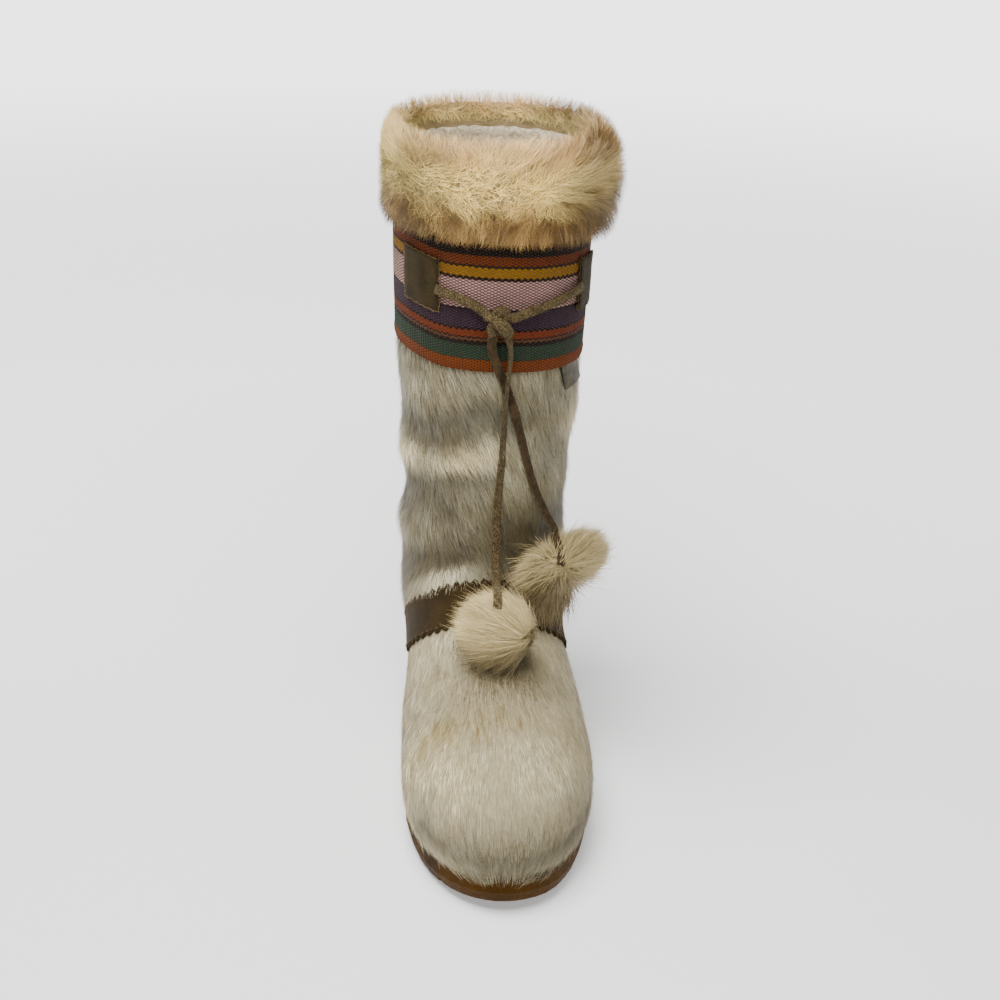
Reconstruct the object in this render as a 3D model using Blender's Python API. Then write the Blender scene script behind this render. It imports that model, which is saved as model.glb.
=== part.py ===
"""Apres-ski boot, left foot: hair-on hide upper, rubber sole, woven band, fur cuff, a tie with pompoms.

Blender script, in metres, +Z up. The toe points to -Y and +X is the outer side of the boot.
The origin is on the floor, under the middle of the boot's box.
Run with: blender --background --python part.py
"""

import math
from collections import namedtuple

import bmesh
import bpy
import numpy as np
from mathutils import Matrix

MM = 0.001

# ---------------------------------------------------------------- driving sizes
WALL = 3 * MM  # hide, hair and lining together
GAP = 0.3 * MM  # clearance between neighbouring pieces
COLLAR_Z = 352 * MM  # top edge of the hide

HEEL_PINCH = 0.16  # how much narrower the heel is than its sections' ellipses
HEEL_PINCH_Z = 47 * MM
HEEL_PINCH_SPAN = 28 * MM
HEEL_PINCH_FROM_Y = -15 * MM
HEEL_PINCH_TO_Y = 60 * MM

TOE_SPRING = 7 * MM  # lift of the sole's underside at the toe
SPRING_START_Y = -76 * MM
SPRING_LENGTH = 62 * MM  # from there to the toe
ARCH_LIFT = 4 * MM  # lift of the underside between ball and heel
ARCH_FROM_Y = -23 * MM
ARCH_TO_Y = 64 * MM
SOLE_BALL = 16 * MM  # footbed height at the ball
SOLE_HEEL = 26 * MM  # footbed height at the heel
FOOTBED_RISE_FROM_Y = -53 * MM
FOOTBED_RISE_TO_Y = 77 * MM
SOLE_TIP_DROP = 2 * MM  # how much thinner the sole gets at the toe
EDGE_ROUND = 2.5 * MM  # rounding of the sole's lower edge
RIM_ROUND = 1 * MM  # and of its upper edge
SOLE_FLARE = 1.5 * MM  # how far the sidewall leans out at mid height
TREAD_DEPTH = 3 * MM
TREAD_WIDTH = 5 * MM
TREAD_TAPER = 0.7 * MM  # how much narrower each side of a groove is at its root
TREAD_PITCH = 13 * MM
FORE_TREAD_FROM_Y = -116 * MM
FORE_TREAD_COUNT = 8
HEEL_TREAD_FROM_Y = 72 * MM
HEEL_TREAD_COUNT = 4
INSOLE_THICK = 4 * MM

BAND_THICK = 1.6 * MM
BAND_LOW_Z = 241 * MM
BAND_HIGH_Z = 312 * MM
BAND_RISE_FORWARD = 0.045  # the band and the cuff's lower edge stand a little higher in front
BAND_RISE_INWARD = 0.035  # and on the inner side
SHAFT_MIDDLE_X = -2 * MM
SHAFT_MIDDLE_Y = 66 * MM
STRAP_THICK = 1.8 * MM
TAB_THICK = 1.8 * MM
TAB_LOW_Z = 273 * MM
TAB_HIGH_Z = 301 * MM
TAB_INNER_X = (-51 * MM, -33.5 * MM)  # the inner tab lies round the front inner corner
TAB_OUTER_X = (30 * MM, 80 * MM)  # and the outer one on the side
TAB_INNER_Y = (-20 * MM, 46 * MM)
TAB_OUTER_Y = (27 * MM, 48 * MM)
LABEL_THICK = 1.2 * MM
LABEL_LOW = (30 * MM, 23 * MM, 226 * MM)  # corners of the box that the label lies in
LABEL_HIGH = (70 * MM, 38 * MM, 240.7 * MM)

TIE_DIAMETER = 4 * MM

PER_ROW = 2  # sections worked out for each step of a table
AROUND = 32  # facets round one section of the upper

# ---------------------------------------------------------------- tables, in millimetres
# Plan of the outsole: inner and outer edge at each station, toe to heel.
Plan = namedtuple("Plan", "y inner outer")
SOLE_PLAN = (
    Plan(-139, 0, 0),
    Plan(-137, -10, 11),
    Plan(-130, -21.5, 23),
    Plan(-116, -33, 33.5),
    Plan(-96, -42, 42),
    Plan(-66, -48, 49),
    Plan(-36, -46.5, 48),
    Plan(-4, -40.5, 44),
    Plan(28, -36, 39.5),
    Plan(62, -35, 36),
    Plan(94, -35, 33),
    Plan(115, -30, 27),
    Plan(126, -21, 18),
    Plan(131, -11, 8),
    Plan(132, -1.5, -1.5),
)

# Sidewall of the sole: share of its height, and how far the outline is moved in there.
Level = namedtuple("Level", "share inset")

# Sections of the closed form of the foot and leg, each in a plane across the boot. The plane runs from
# the base point, under the foot or up the back of the heel, to the top point, on the ridge of the vamp
# or the front of the shaft. half is the greatest half-width, widest the share of the height where it
# lies, low and high the squareness below and above it, and shift moves it to the outer side.
Section = namedtuple("Section", "base_y base_z top_y top_z half widest low high shift")
SECTIONS = (
    Section(-135.5, 29, -135.5, 29, 0, 0.50, 2.0, 2.0, 0),
    Section(-134.5, 21, -134.5, 37, 12, 0.50, 2.2, 2.0, 0),
    Section(-130, 15, -129, 46, 22.5, 0.50, 2.6, 2.0, 0),
    Section(-120, 12, -117, 57, 34, 0.48, 3.2, 2.0, 0),
    Section(-102, 10, -97, 67, 44.5, 0.45, 3.8, 2.1, 0),
    Section(-76, 9, -68, 76, 51.5, 0.42, 4.0, 2.1, 0.5),
    Section(-46, 9, -36, 86, 52, 0.40, 4.0, 2.0, 0.5),
    Section(-12, 10, -12, 96, 50.5, 0.40, 3.8, 2.0, 0),
    Section(28, 14, 1, 106, 49, 0.42, 3.4, 2.0, -1),
    Section(68, 17, 9, 115, 48, 0.46, 3.2, 2.1, -2),
    Section(102, 18, 13, 123, 48, 0.52, 3.0, 2.2, -2),
    Section(119, 22, 15, 131, 48, 0.54, 2.7, 2.2, -2),
    Section(128, 38, 16, 140, 48, 0.55, 2.4, 2.2, -2),
    Section(129, 62, 16, 151, 47.5, 0.54, 2.2, 2.2, -2),
    Section(127, 98, 15, 166, 47.3, 0.52, 2.2, 2.2, -2),
    Section(124, 138, 13, 187, 47.5, 0.51, 2.2, 2.2, -2),
    Section(124, 184, 11, 213, 48.3, 0.50, 2.2, 2.2, -2),
    Section(125, 230, 9, 244, 51, 0.50, 2.2, 2.2, -2),
    Section(127, 270, 7, 274, 52.3, 0.50, 2.2, 2.2, -2),
    Section(128, 306, 6, 306, 53, 0.50, 2.2, 2.2, -2),
    Section(128, 352, 6, 352, 53, 0.50, 2.2, 2.2, -2),
)

# Side view of the ankle strap, from past the instep down into the sole by the heel.
Edge = namedtuple("Edge", "y low high")
STRAP_EDGES = (
    Edge(-25, 108, 142),
    Edge(-5, 94, 128),
    Edge(12, 75, 114),
    Edge(53, 46, 80),
    Edge(88, 20, 53),
    Edge(110, 20, 29),
)

# Profile of the fur cuff: out is the distance from the face of the hide, z the height.
Fur = namedtuple("Fur", "out z")
CUFF_PROFILE = (
    Fur(-3.0, 312.5),
    Fur(2.4, 312.5),
    Fur(5.0, 307.5),
    Fur(8.5, 309.0),
    Fur(10.8, 317.0),
    Fur(11.5, 329.0),
    Fur(11.3, 344.0),
    Fur(10.0, 358.0),
    Fur(7.0, 367.0),
    Fur(2.5, 371.0),
    Fur(-1.5, 369.0),
    Fur(-3.0, 363.0),
)
CUFF_FULLER_OUTSIDE = 0.42  # how much thicker the fur is on the outer side
CUFF_THINNER_INSIDE = 0.2  # and how much thinner on the inner side

# Middle line of each tie piece, from the tab or the knot outwards: out is the distance from the hide.
Path = namedtuple("Path", "x out z")
BAR_INNER = (Path(-29.4, 4.9, 288), Path(-20, 4.8, 285.5), Path(-12, 5.2, 282), Path(-6.5, 6.8, 277.6))
BAR_OUTER = (Path(38.9, 5.3, 286.4), Path(27, 5.3, 283), Path(14, 5.3, 279.5), Path(4.6, 6.8, 276.3))
END_FRONT = (
    Path(1.7, 7.3, 270.0),
    Path(4.6, 7.8, 260),
    Path(4.2, 8.5, 249),
    Path(3.4, 8.6, 239),
    Path(3, 7.8, 229),
    Path(3, 5.8, 218),
    Path(3, 4.1, 206),
    Path(3, 3.6, 195),
    Path(2, 4.0, 178),
    Path(1, 5.5, 160),
    Path(1, 8.5, 144),
    Path(0.5, 15, 126),
    Path(-0.5, 25.2, 105),
)
END_SIDE = (
    Path(-3.7, 7.3, 270.0),
    Path(-5, 5.4, 260),
    Path(-1.6, 4.6, 249),
    Path(2.6, 3.9, 238),
    Path(6.6, 3.6, 227),
    Path(9.8, 3.6, 216),
    Path(13, 3.6, 202),
    Path(19, 3.8, 178),
    Path(24, 4.5, 162),
    Path(27, 8.0, 150),
    Path(28, 12.5, 142),
)
# Lumps on the tie: the knot and the two pompoms. long, deep and high are full sizes, turn is about the
# line of sight from the front, swing about the vertical, and waist narrows the middle.
Lump = namedtuple("Lump", "name x out z long deep high turn swing waist")
LUMPS = (
    Lump("knot", -1, 7.2, 275.5, 12, 8.5, 11, 0, 0, 0.0),
    Lump("pompom_front", -2, 20.3, 92, 44, 34, 41, 10, 0, 0.0),
    Lump("pompom_side", 26.5, 19.4, 125, 66, 31, 37, 18, 24, 0.2),
)


# ---------------------------------------------------------------- shared helpers
def start():
    for item in list(bpy.data.objects):
        bpy.data.objects.remove(item, do_unlink=True)
    boot = bpy.data.collections.new("apres_ski_boot")
    cutters = bpy.data.collections.new("cutters")
    bpy.context.scene.collection.children.link(boot)
    bpy.context.scene.collection.children.link(cutters)
    return boot, cutters


BOOT, CUTTERS = start()


def finish_mesh(name, vertices, faces, cutter=False):
    """A mesh object with outward faces, in the boot's collection or among the cutters."""
    mesh = bpy.data.meshes.new(name)
    mesh.from_pydata([tuple(v) for v in vertices], [], [tuple(f) for f in faces])
    work = bmesh.new()
    work.from_mesh(mesh)
    bmesh.ops.recalc_face_normals(work, faces=work.faces)
    work.to_mesh(mesh)
    work.free()
    item = bpy.data.objects.new(name, mesh)
    if cutter:
        CUTTERS.objects.link(item)
        item.hide_render = True
        item.display_type = "WIRE"
    else:
        BOOT.objects.link(item)
    return item


def cut(item, tool, operation="DIFFERENCE"):
    """Apply one exact Boolean to item."""
    step = item.modifiers.new(operation.lower(), "BOOLEAN")
    step.object = tool
    step.operation = operation
    step.solver = "EXACT"
    graph = bpy.context.evaluated_depsgraph_get()
    mesh = bpy.data.meshes.new_from_object(item.evaluated_get(graph))
    old = item.data
    item.modifiers.clear()
    item.data = mesh
    bpy.data.meshes.remove(old)


def paint(item, colour, roughness, metallic=0.0, smooth=False):
    material = bpy.data.materials.new(item.name)
    material.use_nodes = True
    shader = material.node_tree.nodes["Principled BSDF"]
    shader.inputs["Base Color"].default_value = (*colour, 1.0)
    shader.inputs["Roughness"].default_value = roughness
    shader.inputs["Metallic"].default_value = metallic
    item.data.materials.clear()
    item.data.materials.append(material)
    for face in item.data.polygons:
        face.use_smooth = smooth


def through(rows, closed=False):
    """Smooth curve through the rows of a table, PER_ROW samples for each step."""
    points = np.array(rows, dtype=float)
    count = len(points)
    if closed:
        padded = np.vstack([points[-1], points, points[0], points[1]])
        steps = count
    else:
        padded = np.vstack([2 * points[0] - points[1], points, 2 * points[-1] - points[-2]])
        steps = count - 1
    samples = []
    for k in range(steps):
        before, here, after, beyond = padded[k : k + 4]
        for t in np.arange(PER_ROW) / PER_ROW:
            samples.append(
                0.5
                * (
                    2 * here
                    + (after - before) * t
                    + (2 * before - 5 * here + 4 * after - beyond) * t**2
                    + (3 * here - before - 3 * after + beyond) * t**3
                )
            )
    if not closed:
        samples.append(points[-1])
    return np.array(samples)


def smooth_step(value, low, high):
    share = min(max((value - low) / (high - low), 0.0), 1.0)
    return share * share * (3 - 2 * share)


def underside(y):
    """Height of the sole's underside."""
    if y < SPRING_START_Y:
        return TOE_SPRING * ((SPRING_START_Y - y) / SPRING_LENGTH) ** 2
    if ARCH_FROM_Y < y < ARCH_TO_Y:
        return ARCH_LIFT * math.sin(math.pi * (y - ARCH_FROM_Y) / (ARCH_TO_Y - ARCH_FROM_Y)) ** 2
    return 0.0


def footbed(y):
    """Height of the sole's top face."""
    level = SOLE_BALL + (SOLE_HEEL - SOLE_BALL) * smooth_step(y, FOOTBED_RISE_FROM_Y, FOOTBED_RISE_TO_Y)
    spring = TOE_SPRING - SOLE_TIP_DROP
    return level + spring * max(0.0, (SPRING_START_Y - y) / SPRING_LENGTH) ** 2


def side_prism(name, outline, low_x=-90 * MM, high_x=90 * MM):
    """Solid with a side-view outline of (y, z) points, from low_x to high_x."""
    count = len(outline)
    vertices = [(low_x, y, z) for y, z in outline] + [(high_x, y, z) for y, z in outline]
    faces = [tuple(range(count)), tuple(range(2 * count - 1, count - 1, -1))]
    for k in range(count):
        n = (k + 1) % count
        faces.append((k, n, count + n, count + k))
    return finish_mesh(name, vertices, faces, cutter=True)


def rise(x, y):
    """How much higher than its middle the band stands at x, y."""
    return -BAND_RISE_FORWARD * (y - SHAFT_MIDDLE_Y) - BAND_RISE_INWARD * (x - SHAFT_MIDDLE_X)


def slanted_block(name, low, high):
    """Box between two corners whose floor and roof have the band's slant, as a cutter."""
    outline = [(low[1], low[2]), (high[1], low[2]), (high[1], high[2]), (low[1], high[2])]
    item = side_prism(name, outline, low[0], high[0])
    for vertex in item.data.vertices:
        vertex.co.z += rise(vertex.co.x, vertex.co.y)
    return item


# ---------------------------------------------------------------- form of foot and leg
def power(value, exponent):
    return math.copysign(abs(value) ** exponent, value)


def section_ring(row):
    """Points round one section."""
    base = np.array([0.0, row.base_y, row.base_z]) * MM
    height = np.array([0.0, row.top_y - row.base_y, row.top_z - row.base_z]) * MM
    ring = []
    for k in range(AROUND):
        angle = 2 * math.pi * k / AROUND
        up = math.sin(angle)
        square = row.high if up >= 0 else row.low
        reach = 1 - row.widest if up >= 0 else row.widest
        share = row.widest + reach * power(up, 2 / square)
        point = base + height * share
        pinch = HEEL_PINCH * math.exp(-(((point[2] - HEEL_PINCH_Z) / HEEL_PINCH_SPAN) ** 2))
        pinch *= smooth_step(point[1], HEEL_PINCH_FROM_Y, HEEL_PINCH_TO_Y)
        half = row.half * (1 - pinch)
        point[0] = (row.shift + half * power(math.cos(angle), 2 / square)) * MM
        ring.append(point)
    return ring


def form_grid():
    """Rings of the closed form, toe to collar, with their outward directions."""
    rows = [Section(*values) for values in through(SECTIONS)]
    grid = np.array([section_ring(row) for row in rows])
    along = np.gradient(grid, axis=0)
    around = np.roll(grid, -1, axis=1) - np.roll(grid, 1, axis=1)
    outward = np.cross(along, around)
    outward[0] = (0.0, -1.0, 0.0)
    outward /= np.linalg.norm(outward, axis=2, keepdims=True)
    middle = grid.mean(axis=1, keepdims=True)
    if np.sum(outward[5] * (grid[5] - middle[5])) < 0:
        outward[1:] *= -1
    return grid, outward


GRID, OUTWARD = form_grid()


def form(name, offset, top_z=COLLAR_Z, cutter=True):
    """The closed form grown by offset, filled, with a flat top at top_z."""
    rings = GRID + offset * OUTWARD
    rings[-1, :, 2] = top_z
    count = len(rings)
    vertices = [tuple(rings[0, 0])]
    for ring in rings[1:]:
        vertices += [tuple(point) for point in ring]
    faces = []
    for k in range(AROUND):
        n = (k + 1) % AROUND
        faces.append((0, 1 + k, 1 + n))
        for r in range(count - 2):
            here = 1 + r * AROUND
            there = here + AROUND
            faces.append((here + k, there + k, there + n))
            faces.append((here + k, there + n, here + n))
    last = 1 + (count - 2) * AROUND
    faces.append(tuple(range(last, last + AROUND)))
    return finish_mesh(name, vertices, faces, cutter)


def face_point(x, z, out):
    """Point in front of the shaft or the vamp: at x and z, out from the hide along its normal."""
    front = GRID[:, : AROUND // 2 + 1].reshape(-1, 3)
    normals = OUTWARD[:, : AROUND // 2 + 1].reshape(-1, 3)
    reach = np.hypot(front[:, 0] - x, front[:, 2] - z)
    near = np.argsort(reach)[:4]
    weight = 1 / (reach[near] + 0.5 * MM)
    weight /= weight.sum()
    point = (front[near] * weight[:, None]).sum(axis=0)
    normal = (normals[near] * weight[:, None]).sum(axis=0)
    normal /= np.linalg.norm(normal)
    slide = np.array([x - point[0], 0.0, z - point[2]])
    slide -= normal * np.dot(slide, normal)
    point = point + slide
    return point + normal * out


def overlay(name, region, inner, outer):
    """Piece of even thickness over the form, inside a region."""
    piece = form(name, outer, cutter=False)
    cut(piece, region, "INTERSECT")
    cut(piece, form(name + "_bed", inner), "DIFFERENCE")
    return piece


# ---------------------------------------------------------------- outsole
def sole_outline(inset):
    """Plan outline, moved in by inset, as (x, y) points from the toe down the outer side and back."""
    outer = [(row.outer, row.y) for row in SOLE_PLAN]
    inner = [(row.inner, row.y) for row in SOLE_PLAN[-2:0:-1]]
    ring = through(outer + inner, closed=True) * MM
    along = np.roll(ring, -1, axis=0) - np.roll(ring, 1, axis=0)
    along /= np.linalg.norm(along, axis=1, keepdims=True)
    inward = np.stack([-along[:, 1], along[:, 0]], axis=1)
    if np.sum(inward * ring) > 0:
        inward = -inward
    return ring + inset * inward


def make_outsole():
    levels = (
        Level(0.00, EDGE_ROUND),
        Level(0.05, EDGE_ROUND * 0.35),
        Level(0.16, 0.0),
        Level(0.50, -SOLE_FLARE),
        Level(0.88, 0.0),
        Level(1.00, RIM_ROUND),
    )
    rings = []
    for level in levels:
        ring = []
        for x, y in sole_outline(level.inset):
            low = underside(y)
            ring.append((x, y, low + level.share * (footbed(y) - low)))
        rings.append(ring)
    count = len(rings[0])
    vertices = [point for ring in rings for point in ring]
    faces = []
    for here in range(0, (len(rings) - 1) * count, count):
        for k in range(count):
            n = (k + 1) % count
            faces.append((here + k, here + n, here + count + n, here + count + k))
    for start_at in (0, (len(rings) - 1) * count):
        for k in range(count // 2):
            near, far = start_at + (count - k) % count, start_at + count - k - 1
            corners = [start_at + k, start_at + k + 1, far, near]
            faces.append(tuple(dict.fromkeys(corners)))
    sole = finish_mesh("outsole", vertices, faces)
    for k in range(FORE_TREAD_COUNT + HEEL_TREAD_COUNT):
        if k < FORE_TREAD_COUNT:
            y = FORE_TREAD_FROM_Y + k * TREAD_PITCH
        else:
            y = HEEL_TREAD_FROM_Y + (k - FORE_TREAD_COUNT) * TREAD_PITCH
        front, back = y - TREAD_WIDTH / 2, y + TREAD_WIDTH / 2
        outline = [
            (front, -TREAD_WIDTH),
            (back, -TREAD_WIDTH),
            (back - TREAD_TAPER, underside(back) + TREAD_DEPTH),
            (front + TREAD_TAPER, underside(front) + TREAD_DEPTH),
        ]
        cut(sole, side_prism("tread_%02d" % k, outline))
    paint(sole, (0.20, 0.11, 0.045), 0.55, smooth=False)
    return sole


def footbed_prism(name, lift, depth):
    """Slab with its top face lift above the footbed and its underside depth below that."""
    stations = np.arange(-150, 141, 10) * MM
    top = [(y, footbed(y) + lift) for y in stations]
    low = [(y, footbed(y) + lift - depth) for y in stations[::-1]]
    return side_prism(name, top + low)


# ---------------------------------------------------------------- pieces
def make_upper():
    upper = form("upper", 0.0, cutter=False)
    cut(upper, form("upper_hollow", -WALL, top_z=COLLAR_Z + 20 * MM))
    cut(upper, footbed_prism("under_upper", GAP, 40 * MM))
    paint(upper, (0.62, 0.55, 0.42), 0.9, smooth=True)
    return upper


def make_insole():
    insole = form("insole", -WALL - 2 * GAP, cutter=False)
    cut(insole, footbed_prism("insole_slab", GAP + INSOLE_THICK, INSOLE_THICK), "INTERSECT")
    paint(insole, (0.50, 0.44, 0.34), 0.95)
    return insole


def make_band():
    region = slanted_block("band_region", (-0.1, -0.1, BAND_LOW_Z), (0.1, 0.2, BAND_HIGH_Z))
    band = overlay("band", region, GAP, GAP + BAND_THICK)
    paint(band, (0.30, 0.16, 0.17), 0.85, smooth=False)
    return band


def make_strap():
    floor = SOLE_HEEL + GAP
    low = [(row.y * MM, max(row.low * MM, floor)) for row in STRAP_EDGES]
    high = [(row.y * MM, row.high * MM) for row in STRAP_EDGES[::-1]]
    strap = overlay("ankle_strap", side_prism("strap_region", low + high), GAP, GAP + STRAP_THICK)
    paint(strap, (0.09, 0.055, 0.025), 0.9)
    return strap


def make_tabs():
    tabs = []
    places = (
        ("tab_inner", TAB_INNER_X, TAB_INNER_Y),
        ("tab_outer", TAB_OUTER_X, TAB_OUTER_Y),
    )
    bed = GAP + BAND_THICK + GAP
    for name, across, along in places:
        low = (across[0], along[0], TAB_LOW_Z)
        high = (across[1], along[1], TAB_HIGH_Z)
        tab = overlay(name, slanted_block(name + "_region", low, high), bed, bed + TAB_THICK)
        paint(tab, (0.06, 0.035, 0.018), 0.9)
        tabs.append(tab)
    return tabs


def make_cuff():
    """Fur ring over the collar: proud outside, turned over the edge of the hide."""
    count = len(CUFF_PROFILE)
    vertices = []
    for k in range(AROUND):
        level = GRID[-1, k]
        aim = OUTWARD[-1, k] * np.array([1.0, 1.0, 0.0])
        aim /= np.linalg.norm(aim)
        fuller = 1 + (CUFF_FULLER_OUTSIDE if aim[0] > 0 else CUFF_THINNER_INSIDE) * aim[0]
        for row in CUFF_PROFILE:
            out = row.out * fuller if row.out > 0 else row.out
            point = level + aim * out * MM
            share = (CUFF_PROFILE[-1].z - row.z) / (CUFF_PROFILE[-1].z - CUFF_PROFILE[0].z)
            lift = rise(point[0], point[1]) * min(max(share, 0.0), 1.0)
            vertices.append((point[0], point[1], row.z * MM + lift))
    faces = []
    for k in range(AROUND):
        n = (k + 1) % AROUND
        for p in range(count):
            q = (p + 1) % count
            faces.append((k * count + p, k * count + q, n * count + q, n * count + p))
    cuff = finish_mesh("fur_cuff", vertices, faces)
    cut(cuff, form("cuff_bed", GAP, top_z=COLLAR_Z + GAP))
    paint(cuff, (0.60, 0.46, 0.27), 1.0, smooth=True)
    return cuff


def tube(name, points, diameter):
    """Round cord along points, with closed ends."""
    curve = bpy.data.curves.new(name, "CURVE")
    curve.dimensions = "3D"
    curve.bevel_depth = diameter / 2
    curve.bevel_resolution = 2
    curve.use_fill_caps = True
    spline = curve.splines.new("POLY")
    spline.points.add(len(points) - 1)
    for slot, point in zip(spline.points, points):
        slot.co = (*point, 1.0)
    source = bpy.data.objects.new(name + "_curve", curve)
    CUTTERS.objects.link(source)
    mesh = bpy.data.meshes.new_from_object(source)
    bpy.data.objects.remove(source, do_unlink=True)
    work = bmesh.new()
    work.from_mesh(mesh)
    bmesh.ops.remove_doubles(work, verts=work.verts, dist=0.00005)
    bmesh.ops.recalc_face_normals(work, faces=work.faces)
    work.to_mesh(mesh)
    work.free()
    item = bpy.data.objects.new(name, mesh)
    BOOT.objects.link(item)
    return item


def path_points(path):
    return [face_point(x * MM, z * MM, out * MM) for x, out, z in through(path)]


def make_lump(lump):
    """Soft lump in front of the boot, sphere-like, with an optional waist across its long side."""
    work = bmesh.new()
    bmesh.ops.create_uvsphere(work, u_segments=18, v_segments=11, radius=0.5)
    for vertex in work.verts:
        pinch = 1 - lump.waist * math.exp(-((vertex.co.x / 0.14) ** 2))
        vertex.co.x *= lump.long * MM
        vertex.co.y *= lump.deep * MM * pinch
        vertex.co.z *= lump.high * MM * pinch
    swing = Matrix.Rotation(math.radians(lump.swing), 4, "Z")
    place = swing @ Matrix.Rotation(-math.radians(lump.turn), 4, "Y")
    place.translation = face_point(lump.x * MM, lump.z * MM, lump.out * MM)
    bmesh.ops.transform(work, matrix=place, verts=work.verts)
    mesh = bpy.data.meshes.new(lump.name)
    work.to_mesh(mesh)
    work.free()
    item = bpy.data.objects.new(lump.name, mesh)
    BOOT.objects.link(item)
    return item


def make_tie():
    suede = (0.15, 0.11, 0.07)
    paths = (
        ("tie_bar_inner", BAR_INNER),
        ("tie_bar_outer", BAR_OUTER),
        ("tie_end_front", END_FRONT),
        ("tie_end_side", END_SIDE),
    )
    for name, path in paths:
        paint(tube(name, path_points(path), TIE_DIAMETER), suede, 0.9, smooth=True)
    for lump in LUMPS:
        colour = suede if lump.name == "knot" else (0.42, 0.36, 0.23)
        paint(make_lump(lump), colour, 1.0, smooth=True)


def make_label():
    region = slanted_block("label_region", LABEL_LOW, LABEL_HIGH)
    label = overlay("side_label", region, GAP, GAP + LABEL_THICK)
    paint(label, (0.22, 0.20, 0.17), 0.8)
    return label


make_outsole()
make_upper()
make_insole()
make_band()
make_strap()
make_tabs()
make_cuff()
make_tie()
make_label()
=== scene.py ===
import math

import bmesh
import bpy
import numpy as np
from mathutils import Euler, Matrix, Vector
from mathutils.bvhtree import BVHTree
from mathutils.kdtree import KDTree


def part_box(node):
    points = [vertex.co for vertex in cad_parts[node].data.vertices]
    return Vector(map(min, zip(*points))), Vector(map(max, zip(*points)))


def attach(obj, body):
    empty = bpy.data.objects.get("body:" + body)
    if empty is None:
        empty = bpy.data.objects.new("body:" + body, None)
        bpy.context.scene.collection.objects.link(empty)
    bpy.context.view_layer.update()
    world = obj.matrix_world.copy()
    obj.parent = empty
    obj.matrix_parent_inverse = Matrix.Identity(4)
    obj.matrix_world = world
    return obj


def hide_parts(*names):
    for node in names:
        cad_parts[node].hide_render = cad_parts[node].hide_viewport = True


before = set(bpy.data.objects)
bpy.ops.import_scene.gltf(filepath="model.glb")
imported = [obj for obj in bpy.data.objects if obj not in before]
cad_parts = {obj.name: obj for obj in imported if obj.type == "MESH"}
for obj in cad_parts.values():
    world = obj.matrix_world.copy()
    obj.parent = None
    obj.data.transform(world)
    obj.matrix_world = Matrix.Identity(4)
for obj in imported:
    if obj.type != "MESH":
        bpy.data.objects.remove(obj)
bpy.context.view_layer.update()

mm = 0.001
print("frame loaded,", len(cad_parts), "parts")

# the leg's middle line, worked out from the band round it
bandLow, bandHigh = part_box("band")
legX = (bandLow.x + bandHigh.x) / 2
legY = (bandLow.y + bandHigh.y) / 2


# small helpers

def rollDice(number):
    return np.random.default_rng(number)


def unit(vectors):
    size = np.linalg.norm(vectors, axis=-1, keepdims=True)
    return vectors / np.maximum(size, 1e-12)


def smoothStep(value, low, high):
    share = np.clip((value - low) / (high - low), 0, 1)
    return share * share * (3 - 2 * share)


def hump(value, middle, span):
    return np.exp(-(((value - middle) / span) ** 2))


def shade(red, green, blue):  # a screen colour as the linear one that shaders use
    screen = np.array([red, green, blue]) / 255
    return np.where(screen > 0.04045, ((screen + 0.055) / 1.055) ** 2.4, screen / 12.92)


def blendTo(colour, other, share):
    return colour + (other - colour) * np.asarray(share)[..., None]


def softNoise(points, size, seed):  # 0 to 1, with bumps about size across
    cell = np.asarray(points) / size + seed * 17.31
    low = np.floor(cell).astype(np.int64)
    part = cell - low
    part = part * part * (3 - 2 * part)
    total = np.zeros(cell.shape[:-1])
    for corner in np.ndindex(2, 2, 2):
        weight = np.prod(np.where(np.array(corner) == 1, part, 1 - part), axis=-1)
        at = low + np.array(corner)
        mixed = (at[..., 0] * 73856093) ^ (at[..., 1] * 19349663) ^ (at[..., 2] * 83492791) ^ (seed * 2654435)
        mixed = ((mixed ^ (mixed >> 13)) * 1274126177) & 0x7FFFFFFF
        total += weight * ((mixed >> 8) & 0xFFFF) / 65535
    return total


def curveThrough(rows, steps):  # smooth curve through the rows, with steps samples for each stretch
    points = np.array(rows, float)
    padded = np.vstack([2 * points[0] - points[1], points, 2 * points[-1] - points[-2]])
    samples = []
    for k in range(len(points) - 1):
        before, here, after, beyond = padded[k:k + 4]
        for t in np.arange(steps) / steps:
            samples.append(0.5 * (2 * here + (after - before) * t
                                  + (2 * before - 5 * here + 4 * after - beyond) * t ** 2
                                  + (3 * here - before - 3 * after + beyond) * t ** 3))
    samples.append(points[-1])
    return np.array(samples)


def lengthAlong(line):  # how far along the line each of its points is
    return np.concatenate([[0], np.cumsum(np.linalg.norm(np.diff(line, axis=0), axis=1))])


def eased(line, rounds):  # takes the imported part's facets out of a line, and keeps its ends
    for _ in range(rounds):
        line[1:-1] = (line[:-2] + 2 * line[1:-1] + line[2:]) / 4
    return line


def awayFromLeg(points):  # level directions away from the leg's middle line
    return unit((points - np.array([legX, legY, 0])) * np.array([1, 1, 0]))


def weldedMesh(node):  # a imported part's mesh with its split corners joined again
    work = bmesh.new()
    work.from_mesh(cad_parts[node].data)
    bmesh.ops.remove_doubles(work, verts=work.verts, dist=0.01 * mm)
    return work


def treeOf(node):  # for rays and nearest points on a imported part
    work = weldedMesh(node)
    tree = BVHTree.FromBMesh(work)
    work.free()
    return tree


upperTree = treeOf("upper")
bandTree = treeOf("band")
soleTree = treeOf("outsole")
rayStart, rayReach = 0.2, 0.19  # rays at the leg start outside it and end before its far wall


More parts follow.
